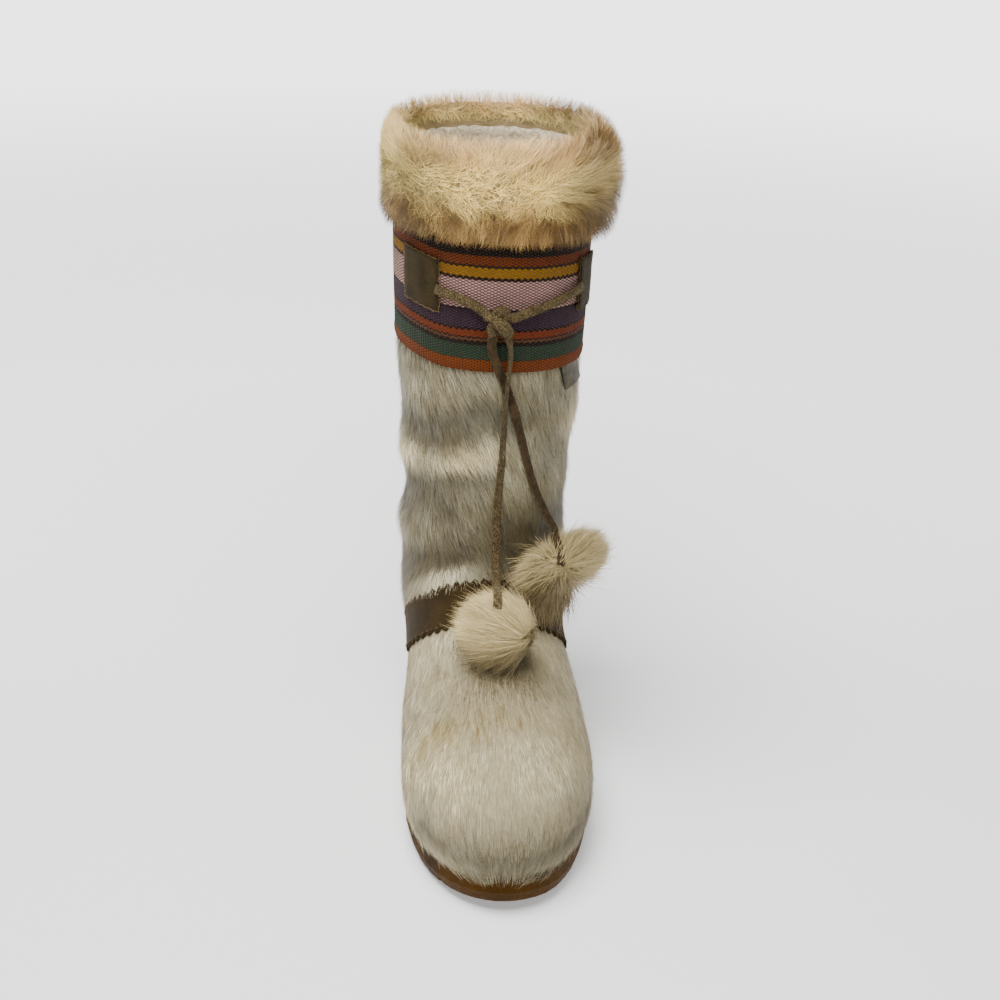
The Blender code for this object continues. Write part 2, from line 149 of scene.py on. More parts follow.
def onHide(x, z, out):  # the point in front of the boot at x and z that stands out from the hide
    hit, normal, _, _ = upperTree.ray_cast(Vector((x, -1, z)), Vector((0, 1, 0)))
    near = [upperTree.ray_cast(Vector((x + dx, -1, z + dz)), Vector((0, 1, 0)))[1]
            for dx in (-3 * mm, 0, 3 * mm) for dz in (-3 * mm, 0, 3 * mm)]
    normal = sum((n for n in near if n), Vector()).normalized()
    return np.array(hit + normal * out), np.array(normal)


# meshes from arrays

def addPiece(name, mesh, material):
    piece = bpy.data.objects.new(name, mesh)
    bpy.context.scene.collection.objects.link(piece)
    mesh.materials.append(material)
    return piece


def meshFrom(name, verts, loops, starts):
    mesh = bpy.data.meshes.new(name)
    mesh.vertices.add(len(verts))
    mesh.vertices.foreach_set("co", np.ascontiguousarray(verts, np.float32).ravel())
    mesh.loops.add(len(loops))
    mesh.loops.foreach_set("vertex_index", np.ascontiguousarray(loops, np.int32))
    mesh.polygons.add(len(starts))
    mesh.polygons.foreach_set("loop_start", np.ascontiguousarray(starts, np.int32))
    mesh.update(calc_edges=True)
    mesh.validate()
    mesh.polygons.foreach_set("use_smooth", np.ones(len(mesh.polygons), bool))
    return mesh


def paintPoints(mesh, colours, name="tone"):
    layer = mesh.color_attributes.new(name, "FLOAT_COLOR", "POINT")
    full = np.ones((len(mesh.vertices), 4), np.float32)
    full[:, :3] = colours
    layer.data.foreach_set("color", full.ravel())


def strandPiece(name, spine, facing, width, colour, material, soft=None, softness=0.6):
    # spine is strands x points x 3, facing the way each flat side looks, width the full width at the root
    count, points = spine.shape[:2]
    along = unit(spine[:, -1] - spine[:, 0])
    flat = unit(facing - along * np.sum(facing * along, 1, keepdims=True))
    half = np.cross(along, flat) * (width / 2)[:, None]
    taper = (1 - np.linspace(0, 1, points)[:-1] ** 1.6) * 0.9 + 0.1
    left = spine[:, :-1] - half[:, None] * taper[None, :, None]
    right = spine[:, :-1] + half[:, None] * taper[None, :, None]
    pairs = np.stack([left, right], 2).reshape(count, -1, 3)
    verts = np.concatenate([pairs, spine[:, -1:]], 1)
    per = verts.shape[1]
    corners = []
    sizes = []
    for k in range(points - 2):
        corners += [2 * k, 2 * k + 1, 2 * k + 3, 2 * k + 2]
        sizes.append(4)
    corners += [2 * points - 4, 2 * points - 3, per - 1]
    sizes.append(3)
    loops = (np.array(corners)[None] + (np.arange(count) * per)[:, None]).ravel()
    offsets = np.concatenate([[0], np.cumsum(sizes)[:-1]])
    starts = (offsets[None] + (np.arange(count) * len(corners))[:, None]).ravel()
    mesh = meshFrom(name, verts.reshape(-1, 3), loops, starts)
    tones = np.concatenate([np.repeat(colour[:, :-1], 2, axis=1), colour[:, -1:]], 1).reshape(-1, 3)
    paintPoints(mesh, tones)
    if soft is not None:
        shading = unit(flat * (1 - softness) + soft * softness)
        normals = np.repeat(shading, per, axis=0)
        mesh.normals_split_custom_set_from_vertices(normals.tolist())
    return addPiece(name, mesh, material)


def gridPiece(name, points, closed, material, places=None):
    # points is rows x columns x 3, closed joins the last column to the first, places is the map's u and v
    rows, columns = points.shape[:2]
    wide = columns if closed else columns - 1
    r, c = np.meshgrid(np.arange(rows - 1), np.arange(wide), indexing="ij")
    n = (c + 1) % columns
    quads = np.stack([r * columns + c, r * columns + n, (r + 1) * columns + n, (r + 1) * columns + c], -1)
    quads = quads.reshape(-1, 4)
    mesh = meshFrom(name, points.reshape(-1, 3), quads.ravel(), np.arange(len(quads)) * 4)
    if places is not None:
        layer = mesh.uv_layers.new(name="weave")
        flat = places.reshape(-1, 2)[quads.ravel()].copy()
        layer.data.foreach_set("uv", flat.astype(np.float32).ravel())
    return addPiece(name, mesh, material)


# shader helpers

def newFinish(name, roughness=0.8, specular=0.3):
    material = bpy.data.materials.new(name)
    material.use_nodes = True
    tree = material.node_tree
    shader = tree.nodes["Principled BSDF"]
    shader.inputs["Roughness"].default_value = roughness
    shader.inputs["Specular IOR Level"].default_value = specular
    return material, tree, shader


def setInput(tree, node, slotName, value):
    if isinstance(value, bpy.types.NodeSocket):
        tree.links.new(value, node.inputs[slotName])
    elif value is not None:
        node.inputs[slotName].default_value = value


def maths(tree, operation, first, second=None, third=None, clamp=False):
    node = tree.nodes.new("ShaderNodeMath")
    node.operation = operation
    node.use_clamp = clamp
    for place, value in enumerate((first, second, third)):
        setInput(tree, node, place, value)
    return node.outputs[0]


def times(tree, first, second):
    return maths(tree, "MULTIPLY", first, second)


def plus(tree, first, second, clamp=False):
    return maths(tree, "ADD", first, second, clamp=clamp)


def rest(tree, share):  # what is left of one
    return maths(tree, "SUBTRACT", 1.0, share)


def within(tree, value, middle, reach):  # one within reach of the middle, else nothing
    return maths(tree, "COMPARE", value, middle, reach)


def noise(tree, where, scale, detail=3.0, roughness=0.5, distortion=0.0):
    node = tree.nodes.new("ShaderNodeTexNoise")
    setInput(tree, node, "Vector", where)
    node.inputs["Scale"].default_value = scale
    node.inputs["Detail"].default_value = detail
    node.inputs["Roughness"].default_value = roughness
    node.inputs["Distortion"].default_value = distortion
    return node.outputs["Fac"]


def ramp(tree, value, low, high, start=0.0, end=1.0):
    node = tree.nodes.new("ShaderNodeMapRange")
    setInput(tree, node, "Value", value)
    node.inputs["From Min"].default_value = low
    node.inputs["From Max"].default_value = high
    node.inputs["To Min"].default_value = start
    node.inputs["To Max"].default_value = end
    return node.outputs[0]


def mixShades(tree, share, first, second):  # each of the two is a socket or a linear colour
    node = tree.nodes.new("ShaderNodeMix")
    node.data_type = "RGBA"
    setInput(tree, node, 0, share)
    for place, value in ((6, first), (7, second)):
        if isinstance(value, bpy.types.NodeSocket):
            tree.links.new(value, node.inputs[place])
        else:
            node.inputs[place].default_value = (*value, 1)
    return node.outputs[2]


def objectPlace(tree, stretch=(1, 1, 1)):
    where = tree.nodes.new("ShaderNodeTexCoord").outputs["Object"]
    node = tree.nodes.new("ShaderNodeMapping")
    tree.links.new(where, node.inputs["Vector"])
    node.inputs["Scale"].default_value = stretch
    return node.outputs[0]


def setColour(tree, shader, colour):
    tree.links.new(colour, shader.inputs["Base Color"])


def bump(tree, shader, height, distance, strength=1.0):
    node = tree.nodes.new("ShaderNodeBump")
    node.inputs["Distance"].default_value = distance
    node.inputs["Strength"].default_value = strength
    tree.links.new(height, node.inputs["Height"])
    tree.links.new(node.outputs[0], shader.inputs["Normal"])


# camera
cameraShot = {"place": (-0.0662, -0.818, 0.545), "down": 23.727, "aim": (0.002, 0, 0.172), "lens": 59}


def setCamera():
    camera = bpy.data.objects.new("bootCamera", bpy.data.cameras.new("bootCamera"))
    bpy.context.scene.collection.objects.link(camera)
    camera.location = cameraShot["place"]
    straight = Euler((math.radians(90 - cameraShot["down"]), 0, 0)).to_quaternion()
    aim = Vector(cameraShot["aim"]) - camera.location
    swing = (straight @ Vector((0, 0, -1))).rotation_difference(aim)  # brings the boot to the middle
    camera.rotation_euler = (swing @ straight).to_euler()
    camera.data.lens = cameraShot["lens"]
    camera.data.sensor_width = 36
    camera.data.clip_start = 0.01
    bpy.context.scene.camera = camera


setCamera()


# finishes

def hairFinish(name, roughness, specular, sheen):
    material, tree, shader = newFinish(name, roughness, specular)
    tone = tree.nodes.new("ShaderNodeAttribute")
    tone.attribute_name = "tone"
    where = objectPlace(tree)
    fleck = ramp(tree, noise(tree, where, 900, 2), 0.25, 0.75, 0.86, 1.12)
    flecked = tree.nodes.new("ShaderNodeVectorMath")
    flecked.operation = "SCALE"
    tree.links.new(tone.outputs["Color"], flecked.inputs[0])
    tree.links.new(fleck, flecked.inputs["Scale"])
    setColour(tree, shader, flecked.outputs[0])
    shader.inputs["Sheen Weight"].default_value = sheen
    shader.inputs["Sheen Roughness"].default_value = 0.4
    return material


def suedeFinish(name, light, dark):
    material, tree, shader = newFinish(name, 0.92, 0.12)
    where = objectPlace(tree)
    cloud = noise(tree, where, 90, 4, 0.6)
    grain = noise(tree, where, 1500, 3, 0.65)
    brushed = mixShades(tree, ramp(tree, cloud, 0.3, 0.72), dark, light)
    flecks = ramp(tree, grain, 0.35, 0.7, 0, 0.55)
    setColour(tree, shader, mixShades(tree, flecks, brushed, np.minimum(light * 1.5, 1)))
    shader.inputs["Sheen Weight"].default_value = 0.04
    shader.inputs["Sheen Roughness"].default_value = 0.5
    bump(tree, shader, plus(tree, grain, times(tree, cloud, 0.6)), 0.35 * mm, 0.8)
    return material


hideHair = hairFinish("hide_hair", 0.55, 0.35, 0.08)
cuffHair = hairFinish("cuff_hair", 0.62, 0.25, 0.12)
pompomHair = hairFinish("pompom_hair", 0.6, 0.25, 0.1)


# the suede tie: bars, knot and hanging ends
tieLace = {
    "width": 4.8 * mm, "thick": 1.7 * mm, "stepsBetween": 8, "stepsOverPompom": 14,
    "fuzz": 0.9 * mm, "fuzzWide": 0.22 * mm, "fuzzEach": 26, "fuzzShade": (84, 72, 48),
}
# rows are x, distance out from the hide and z, in millimetres, from the knot or the tab outwards
endFrontRoute = [
    (1.7, 7.3, 270.0), (4.6, 7.8, 260), (4.2, 8.5, 249), (3.4, 8.6, 239), (3, 7.8, 229), (3, 5.8, 218),
    (3, 4.1, 206), (3, 3.6, 195), (2, 4.0, 178), (1, 5.5, 160), (1, 8.5, 144), (0.5, 14, 128),
    (0.2, 19, 119.5),
]
endSideRoute = [
    (-3.7, 7.3, 270.0), (-5, 5.4, 260), (-1.6, 4.6, 249), (2.6, 3.9, 238), (6.6, 3.6, 227), (9.8, 3.6, 216),
    (13, 3.6, 202), (19, 3.8, 178), (24, 5.0, 162), (26.5, 10.0, 151), (27.5, 15.5, 144),
]
# the ends then lie over the pompoms as far as a point given from the pompom's middle, so high above its solid
layOver = {
    "tie_end_front": ("pompom_front", (1.5, -9, 15), 1.8),
    "tie_end_side": ("pompom_side", (-3.5, -15, 6), 3.6),
}
barInnerRoute = [
    (-32.5, 3.6, 288.6), (-29.4, 4.7, 288), (-20, 4.9, 285.5), (-12, 5.4, 282), (-6.5, 6.8, 277.6),
]
barOuterRoute = [
    (41.5, 3.9, 287.0), (38.9, 5.2, 286.4), (27, 5.3, 283), (14, 5.5, 279.5), (4.6, 6.8, 276.3),
]


def routePoints(route):
    found = []
    facing = []
    for x, out, z in curveThrough(route, tieLace["stepsBetween"]):
        point, normal = onHide(x * mm, z * mm, out * mm)
        found.append(point)
        facing.append(normal)
    return eased(np.array(found), 6), unit(np.array(facing))


def overPompom(line, facing, node, offset, lift):
    verts = np.array([v.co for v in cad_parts[node].data.vertices])
    end = (verts.min(0) + verts.max(0)) / 2 + np.array(offset) * mm
    tree = treeOf(node)
    spots, normals = [], []
    for share in np.linspace(0, 1, tieLace["stepsOverPompom"] + 1)[1:]:
        spot, normal, _, _ = tree.find_nearest(Vector(line[-1] + (end - line[-1]) * share))
        spots.append(spot + normal * lift * mm)
        normals.append(normal)
    line = eased(np.concatenate([line, np.array(spots)]), 8)
    return line, unit(np.concatenate([facing, np.array(normals)]))


def laceMesh(name, line, facing, turns, width, thick, material, seed):
    # a flat strip with rounded, ragged edges, where turns gives its twist in degrees along the line
    count = len(line)
    along = unit(np.gradient(line, axis=0))
    face = unit(facing - along * np.sum(facing * along, 1, keepdims=True))
    across = np.cross(along, face)
    twist = np.radians(np.interp(np.linspace(0, 1, count), np.linspace(0, 1, len(turns)), turns))[:, None]
    wide = across * np.cos(twist) + face * np.sin(twist)
    deep = face * np.cos(twist) - across * np.sin(twist)
    around = 16
    angles = np.arange(around) / around * 2 * math.pi
    flatX = np.sign(np.cos(angles)) * np.abs(np.cos(angles)) ** 0.45
    flatY = np.sign(np.sin(angles)) * np.abs(np.sin(angles)) ** 0.75
    rag = softNoise(line[:, None] + wide[:, None] * flatX[None, :, None] * 5 * mm, 1.6 * mm, seed) - 0.5
    sway = softNoise(line, 9 * mm, seed + 3) - 0.5
    lumps = softNoise(line[:, None] + deep[:, None] * flatY[None, :, None], 2.2 * mm, seed + 1) - 0.5
    reach = width / 2 * (1 + 0.16 * rag * (np.abs(flatX) > 0.8)) * (1 + 0.08 * sway)[:, None]
    body = thick / 2 * (1 + 0.35 * lumps)
    points = (line[:, None] + wide[:, None] * (flatX[None] * reach)[..., None]
              + deep[:, None] * (flatY[None] * body)[..., None])
    ends = np.repeat(line[[0, -1], None], around, axis=1)
    points = np.concatenate([ends[:1], points, ends[1:]])
    piece = gridPiece(name, points, True, material)
    side = np.tile(flatY, (count + 2, 1))
    edge = np.tile(np.abs(flatX), (count + 2, 1))
    tone = np.stack([side.ravel() * 0.5 + 0.5, edge.ravel(), np.zeros(side.size)], 1)
    paintPoints(piece.data, tone, "side")
    return piece, wide, deep


def laceFinish():
    # suede nap on one side and along the edges, smooth brown leather on the other
    material, tree, shader = newFinish("suede_lace", 0.85, 0.15)
    where = objectPlace(tree)
    side = tree.nodes.new("ShaderNodeAttribute")
    side.attribute_name = "side"
    parts = tree.nodes.new("ShaderNodeSeparateColor")
    tree.links.new(side.outputs["Color"], parts.inputs[0])
    grain = noise(tree, where, 1300, 3, 0.7)
    cloud = noise(tree, where, 220, 3, 0.6)
    nap = mixShades(tree, ramp(tree, cloud, 0.3, 0.7), shade(38, 29, 15), shade(66, 53, 30))
    nap = mixShades(tree, ramp(tree, grain, 0.45, 0.62, 0, 0.75), nap, shade(118, 102, 68))
    skin = mixShades(tree, ramp(tree, cloud, 0.35, 0.7), shade(42, 31, 16), shade(70, 54, 32))
    onSkin = ramp(tree, parts.outputs[0], 0.62, 0.4)
    ragged = times(tree, maths(tree, "SUBTRACT", grain, 0.5), 0.5)
    edge = ramp(tree, plus(tree, parts.outputs[1], ragged), 0.86, 0.97)
    share = times(tree, onSkin, rest(tree, edge))
    setColour(tree, shader, mixShades(tree, share, nap, skin))
    shader.inputs["Sheen Weight"].default_value = 0.04
    bump(tree, shader, plus(tree, grain, cloud), 0.4 * mm, 0.8)
    return material


laceSuede = laceFinish()
fuzzHair = hairFinish("suede_fuzz", 0.8, 0.1, 0.1)


def fuzzAlong(name, line, wide, deep, width, thick, each, seed):
    # short fibres that stand off a strip's cut edges and nap, so many for each step of the line
    dice = rollDice(seed)
    count = len(line) * each
    at = dice.uniform(0, len(line) - 1.001, count)
    low = at.astype(int)
    part = (at - low)[:, None]
    middle = line[low] * (1 - part) + line[low + 1] * part
    w, d = unit(wide[low]), unit(deep[low])
    spin = dice.uniform(0, 2 * math.pi, count)
    edge = np.sign(np.cos(spin)) * np.abs(np.cos(spin)) ** 0.25
    flat = np.sin(spin)
    root = middle + w * (edge * width * 0.48)[:, None] + d * (flat * thick * 0.42)[:, None]
    out = unit(w * edge[:, None] + d * flat[:, None] * 0.8 + dice.normal(0, 0.55, (count, 3)))
    length = tieLace["fuzz"] * dice.uniform(0.4, 1.1, count)
    tip = root + out * length[:, None] + np.array([0, 0, -0.25 * mm])
    spine = np.stack([root, root + out * (length * 0.5)[:, None], tip], 1)
    tint = shade(*tieLace["fuzzShade"])[None] * dice.uniform(0.75, 1.35, count)[:, None]
    colour = np.repeat(tint[:, None], 3, axis=1)
    facing = unit(dice.normal(0, 1, (count, 3)) + np.array([0, -1, 0.5]))
    return strandPiece(name, spine, facing, np.full(count, tieLace["fuzzWide"]), colour, fuzzHair)


def makeTie():
    width, thick = tieLace["width"], tieLace["thick"]
    made = {}
    plans = (
        ("tie_end_front", endFrontRoute, (30, 62, 70, 72, 66, 60, 52, 40, 30, 15, 8, 0, 0, 0, 0), 1),
        ("tie_end_side", endSideRoute, (168, 172, 176, 180, 180, 180, 182, 184, 188, 190, 190, 186, 180), 2),
        ("tie_bar_inner", barInnerRoute, (8, 10, 20, 28, 20), 3),
        ("tie_bar_outer", barOuterRoute, (-4, -12, -18, -24, -15), 4),
    )
    for name, route, turns, seed in plans:
        line, facing = routePoints(route)
        if name in layOver:
            line, facing = overPompom(line, facing, *layOver[name])
        piece, wide, deep = laceMesh(name + "_lace", line, facing, turns, width, thick, laceSuede, seed)
        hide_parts(name)
        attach(piece, "root")
        fuzz = fuzzAlong(name + "_fuzz", line, wide, deep, width, thick, tieLace["fuzzEach"], seed + 20)
        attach(fuzz, "root")
        made[name] = (piece, fuzz, line)
    return made


tie = makeTie()
print("tie laid")


# knot
# each loop is one pass of the lace: its rows are x, out and z from the knot's middle, in millimetres,
# and its turns are its twist in degrees
knotLoops = {
    "over": {
        "rows": [(-8.5, -0.6, 2.6), (-5, 1.6, 2.2), (-1, 3, 0.6), (2.4, 3, -2), (4.6, 1.6, -5.4),
                 (3.4, 0.2, -8)],
        "turns": (10, 25, 15, 0, -20),
    },
    "under": {
        "rows": [(8.5, -0.8, 1.6), (5.5, 0.4, 2), (1.5, 0.9, 1.6), (-2.6, 1.2, -0.2), (-5, 1.2, -3.4),
                 (-3.6, 0.8, -8)],
        "turns": (0, -10, 0, 20, 10),
    },
    "arch": {
        "rows": [(-3.6, 0.6, 1.5), (-2.4, 1.6, 5), (0.2, 2, 6.6), (2.6, 1.4, 4.6), (3, 0.4, 1.2)],
        "turns": (40, 20, 0, -20, -40),
    },
    "wrap": {
        "rows": [(-3.4, 1.8, 0.8), (-1.6, 3.6, -0.8), (0.6, 4.2, -3), (2, 3.2, -5.6), (1, 1, -7)],
        "turns": (0, 10, 20, 10, 0),
    },
}
knotPlan = {"middle": (-1, 7.2, 275.5), "width": 4.6 * mm, "thick": 2.0 * mm, "fuzzEach": 20}


def makeKnot():
    x, out, z = knotPlan["middle"]
    middle, normal = onHide(x * mm, z * mm, out * mm)
    pieces = []
    width, thick = knotPlan["width"], knotPlan["thick"]
    for number, (loop, plan) in enumerate(knotLoops.items()):
        aside, away, up = (curveThrough(plan["rows"], tieLace["stepsBetween"]) * mm).T[..., None]
        line = middle + np.array([1, 0, 0]) * aside + normal * away + np.array([0, 0, 1]) * up
        facing = np.repeat(normal[None], len(line), axis=0)
        piece, wide, deep = laceMesh("knot_" + loop, line, facing, plan["turns"], width, thick, laceSuede,
                                     40 + number)
        fuzz = fuzzAlong("knot_fuzz_" + loop, line, wide, deep, width, thick, knotPlan["fuzzEach"],
                         60 + number)
        pieces += [piece, fuzz]
    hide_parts("knot")
    for piece in pieces:
        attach(piece, "root")
    return pieces


knotPieces = makeKnot()
print("knot tied")


# pompoms
# pole: where the hair parts, from the middle, and raised: how far it starts beyond that, in millimetres
pompoms = {
    "pompom_front": {
        "strands": 11000, "pole": (17.0, -14, 1), "raised": 5, "length": 21, "hanging": 500, "hangLong": 9,
        "short": 1, "pale": (234, 214, 158), "deep": (176, 152, 98), "grey": (112, 98, 70),
    },
    "pompom_side": {
        "strands": 11000, "pole": (-3.5, -15, 7), "raised": 4, "length": 20, "hanging": 2200, "hangLong": 21,
        "short": 0, "pale": (214, 194, 140), "deep": (154, 132, 84), "grey": (106, 90, 62),
    },
}


def samplePoints(verts, faces, count, dice):  # even scatter over triangles, with smooth normals
    a, b, c = verts[faces[:, 0]], verts[faces[:, 1]], verts[faces[:, 2]]
    cross = np.cross(b - a, c - a)
    area = np.linalg.norm(cross, axis=1) / 2
    normals = np.zeros_like(verts)
    for k in range(3):
        np.add.at(normals, faces[:, k], cross)
    normals = unit(normals)
    pick = np.searchsorted(np.cumsum(area) / area.sum(), dice.random(count))
    u, v = dice.random(count), dice.random(count)
    over = u + v > 1
    u[over], v[over] = 1 - u[over], 1 - v[over]
    w = 1 - u - v
    f = faces[pick]
    shares = ((f[:, 0], w[:, None]), (f[:, 1], u[:, None]), (f[:, 2], v[:, None]))
    return sum(verts[at] * part for at, part in shares), unit(sum(normals[at] * part for at, part in shares))


def bowed(start, middle, end, t):  # a bend from start to end, pulled towards the middle
    return start[:, None] * (1 - t) ** 2 + middle[:, None] * 2 * t * (1 - t) + end[:, None] * t ** 2


def arraysOf(work):  # corner points and triangles
    bmesh.ops.triangulate(work, faces=work.faces)
    work.verts.ensure_lookup_table()
    verts = np.array([v.co for v in work.verts])
    faces = np.array([[v.index for v in f.verts] for f in work.faces])
    return verts, faces


def makePompom(name, plan, seed):
    dice = rollDice(seed)
    verts, faces = arraysOf(weldedMesh(name))
    low, high = verts.min(0), verts.max(0)
    middle = (low + high) / 2
    pole = middle + np.array(plan["pole"]) * mm
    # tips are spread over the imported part's face, and the hair is combed away from the pole
    tip, normal = samplePoints(verts, faces, plan["strands"], dice)
    away = tip - pole
    away = unit(away - normal * np.sum(away * normal, 1, keepdims=True))
    reach = np.linalg.norm(tip - pole, axis=1)
    length = np.minimum(plan["length"] * mm * (0.7 + 0.6 * dice.random(len(tip))), reach * 0.8 + 2 * mm)
    swirl = (softNoise(tip, 9 * mm, seed) - 0.5)[:, None] * 0.45 * np.cross(normal, away)
    lean = unit(away + swirl + dice.normal(0, 0.24, tip.shape))
    sunk = smoothStep((tip[:, 2] - middle[2]) / (high[2] - low[2]), -0.08, -0.4)
    puff = dice.exponential(1.6, len(tip)) * (1 + 1.0 * sunk) - 1.0
    tip = tip + normal * (puff * mm)[:, None] + lean * 1.5 * mm
    # where short is 1, the fur is cut shorter at the outer side and below
    beyond = np.maximum(tip[:, 0] - pole[0] + 2 * mm, 0)
    tip[:, 0] -= beyond * 0.55 * plan["short"]
    below = np.maximum(pole[2] - tip[:, 2], 0) * smoothStep(tip[:, 0] - pole[0], -14 * mm, 0)
    tip[:, 2] += below * 0.45 * plan["short"]
    whorl = pole + unit((pole - middle)[None])[0] * plan["raised"] * mm + dice.normal(0, 2.2 * mm, tip.shape)
    aim = unit(unit(tip - whorl) * 0.75 + lean * 0.35)
    root = tip - aim * length[:, None] - normal * (length * 0.14)[:, None]
    bow = (root + tip) / 2 + normal * (length * 0.07)[:, None]
    t = np.linspace(0, 1, 4)[None, :, None]
    spine = bowed(root, bow, tip, t)
    patch = softNoise(tip, 5 * mm, seed + 5)
    pale, deep = shade(*plan["pale"]), shade(*plan["deep"])
    light = np.clip(dice.normal(0.6, 0.32, len(tip)) + (patch - 0.5) * 0.9, 0, 1)
    tone = blendTo(deep[None], pale[None], light)
    tone = blendTo(tone, shade(*plan["grey"])[None], np.clip(sunk * (0.6 + 0.5 * patch), 0, 0.8))
    colour = tone[:, None] * np.linspace(0.78, 1.08, 4)[None, :, None]
    # longer, greyer hair hangs out of the underside
    loose = np.flatnonzero((sunk > 0.15) & (tip[:, 0] < middle[0] + 8 * mm))
    loose = dice.choice(loose, plan["hanging"])
    start = tip[loose] - normal[loose] * 3 * mm
    aside = dice.normal(-0.05, 0.22, len(loose))
    drop = np.stack([aside, np.full(len(loose), -0.12), -np.ones(len(loose))], 1)
    end = start + unit(drop) * (plan["hangLong"] * dice.uniform(0.4, 1.1, len(loose)) * mm)[:, None]
    for k in range(len(end)):
        hit, out, _, _ = upperTree.find_nearest(Vector(end[k]))
        if (Vector(end[k]) - hit).dot(out) < 3.4 * mm:  # it lies on the hide's own hair
            end[k] = np.array(hit + out * dice.uniform(3.4, 5.0) * mm)
    between = (start + end) / 2 + np.array([0, -1.5 * mm, 0])
    greys = np.repeat(shade(*plan["grey"])[None], len(end), 0)
    greys = blendTo(greys, pale[None], dice.uniform(0, 0.45, len(end)) ** 1.5)
    spine = np.concatenate([spine, bowed(start, between, end, t)])
    colour = np.concatenate([colour, greys[:, None] * np.linspace(0.75, 1.1, 4)[None, :, None]])
    normal = np.concatenate([normal, np.repeat(unit(np.array([[0, -1, 0.35]])), len(end), 0)])
    width = dice.uniform(0.17, 0.3, len(spine)) * mm
    piece = strandPiece(name + "_fur", spine, unit(normal + np.array([0, -0.3, 0.6])), width, colour,
                        pompomHair, soft=normal, softness=0.45)
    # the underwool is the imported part's own shape, smaller, deep in the fur
    work = weldedMesh(name)
    for v in work.verts:
        v.co = Vector(middle) + (v.co - Vector(middle)) * 0.72
    mesh = bpy.data.meshes.new(name + "_core")
    bmesh.ops.subdivide_edges(work, edges=work.edges, cuts=1, smooth=0.6, use_grid_fill=True)
    work.to_mesh(mesh)
    work.free()
    mesh.polygons.foreach_set("use_smooth", np.ones(len(mesh.polygons), bool))
    core = addPiece(name + "_core", mesh, coreFur)
    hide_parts(name)
    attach(piece, "root")
    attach(core, "root")
    return piece, core


def coreFinish():
    material, tree, shader = newFinish("fur_underwool", 0.95, 0.1)
    where = objectPlace(tree)
    cloud = noise(tree, where, 160, 4, 0.6)
    setColour(tree, shader, mixShades(tree, cloud, shade(120, 102, 72), shade(186, 166, 124)))
    bump(tree, shader, noise(tree, where, 900, 3), 0.6 * mm)
    return material


coreFur = coreFinish()
pompomPieces = {name: makePompom(name, plan, 100 + k) for k, (name, plan) in enumerate(pompoms.items())}

print("pompoms trimmed")


# lines of the band and the strap, shared by several pieces
# side view of the strap: y, its lower and its upper edge, in millimetres
strapEdges = {
    "y": (-25, -6, 2, 10, 15, 22, 38, 53, 88, 110),
    "low": (110, 94, 84, 75, 70, 65, 54, 44, 21, 20),
    "high": (152, 134, 127, 119, 112, 103, 87, 75, 51, 29),
}
bandSlant = {"lowZ": 241, "forward": 0.045, "inward": 0.035, "x": -2, "y": 66, "innerLift": 4.5}


def bandRise(x, y):  # how much higher than its middle the band stands there, in millimetres
    return -bandSlant["forward"] * (y - bandSlant["y"]) - bandSlant["inward"] * (x - bandSlant["x"])


def bandLift(x):  # the band's inner side is worn higher
    return bandSlant["innerLift"] * smoothStep(-x, 28, 58)


# fur cuff
furCuff = {
    "strands": 44000, "middleZ": 341, "splitZ": 344, "bottomZ": 311.5,
    "rimZ": 352.5, "coreOut": 5.0, "coreIn": 3.5, "coreHigh": 23.0, "tipOut": 9.5, "tipIn": 4.5,
    "tipHigh": 31, "tuft": 9, "lock": 6.5,
    "pale": (255, 229, 142), "gold": (220, 171, 98), "brown": (96, 68, 35),
    "rosy": (250, 212, 152), "grey": (170, 144, 104),
}


def collarReach():  # distance of the hide's face from the leg's line, for each degree round the collar
    middle = Vector((legX, legY, 0.340))  # a little below the rim
    reach = []
    for degree in range(360):
        aim = Vector((math.cos(math.radians(degree)), math.sin(math.radians(degree)), 0))
        hit = upperTree.ray_cast(middle + aim * rayStart, -aim)[0]
        reach.append((hit - middle).length)
    reach = np.array(reach)
    for _ in range(8):
        reach = (np.roll(reach, 1) + 2 * reach + np.roll(reach, -1)) / 4
    return reach


collar = collarReach()


def collarAt(turn):  # turn in radians
    return np.interp(np.degrees(turn) % 360, np.arange(361), np.append(collar, collar[0]))


def cuffCore(turn, around):  # a point of the cuff's skin: turn round the leg, around its own ring
    flat = np.stack([np.cos(turn), np.sin(turn)], -1)
    out = np.where(np.cos(around) > 0, furCuff["coreOut"], furCuff["coreIn"]) * np.cos(around) * mm + 1 * mm
    reach = collarAt(turn) + out
    z = (furCuff["middleZ"] + furCuff["coreHigh"] * np.sin(around)) * mm
    return np.stack([legX + flat[..., 0] * reach, legY + flat[..., 1] * reach, z], -1)


def clumpTips(tip, root, size, pull, dice, each=14):  # gathers neighbouring tips into locks
    count = max(int(len(tip) / each), 8)
    guides = dice.choice(len(tip), count, replace=False)
    tree = KDTree(count)
    for k, g in enumerate(guides):
        tree.insert(root[g], k)
    tree.balance()
    nearest = np.array([guides[tree.find(p)[1]] for p in root])
    gap = tip[nearest] - tip
    share = pull * np.exp(-((np.linalg.norm(gap, axis=1) / size) ** 2))
    return tip + gap * share[:, None], nearest


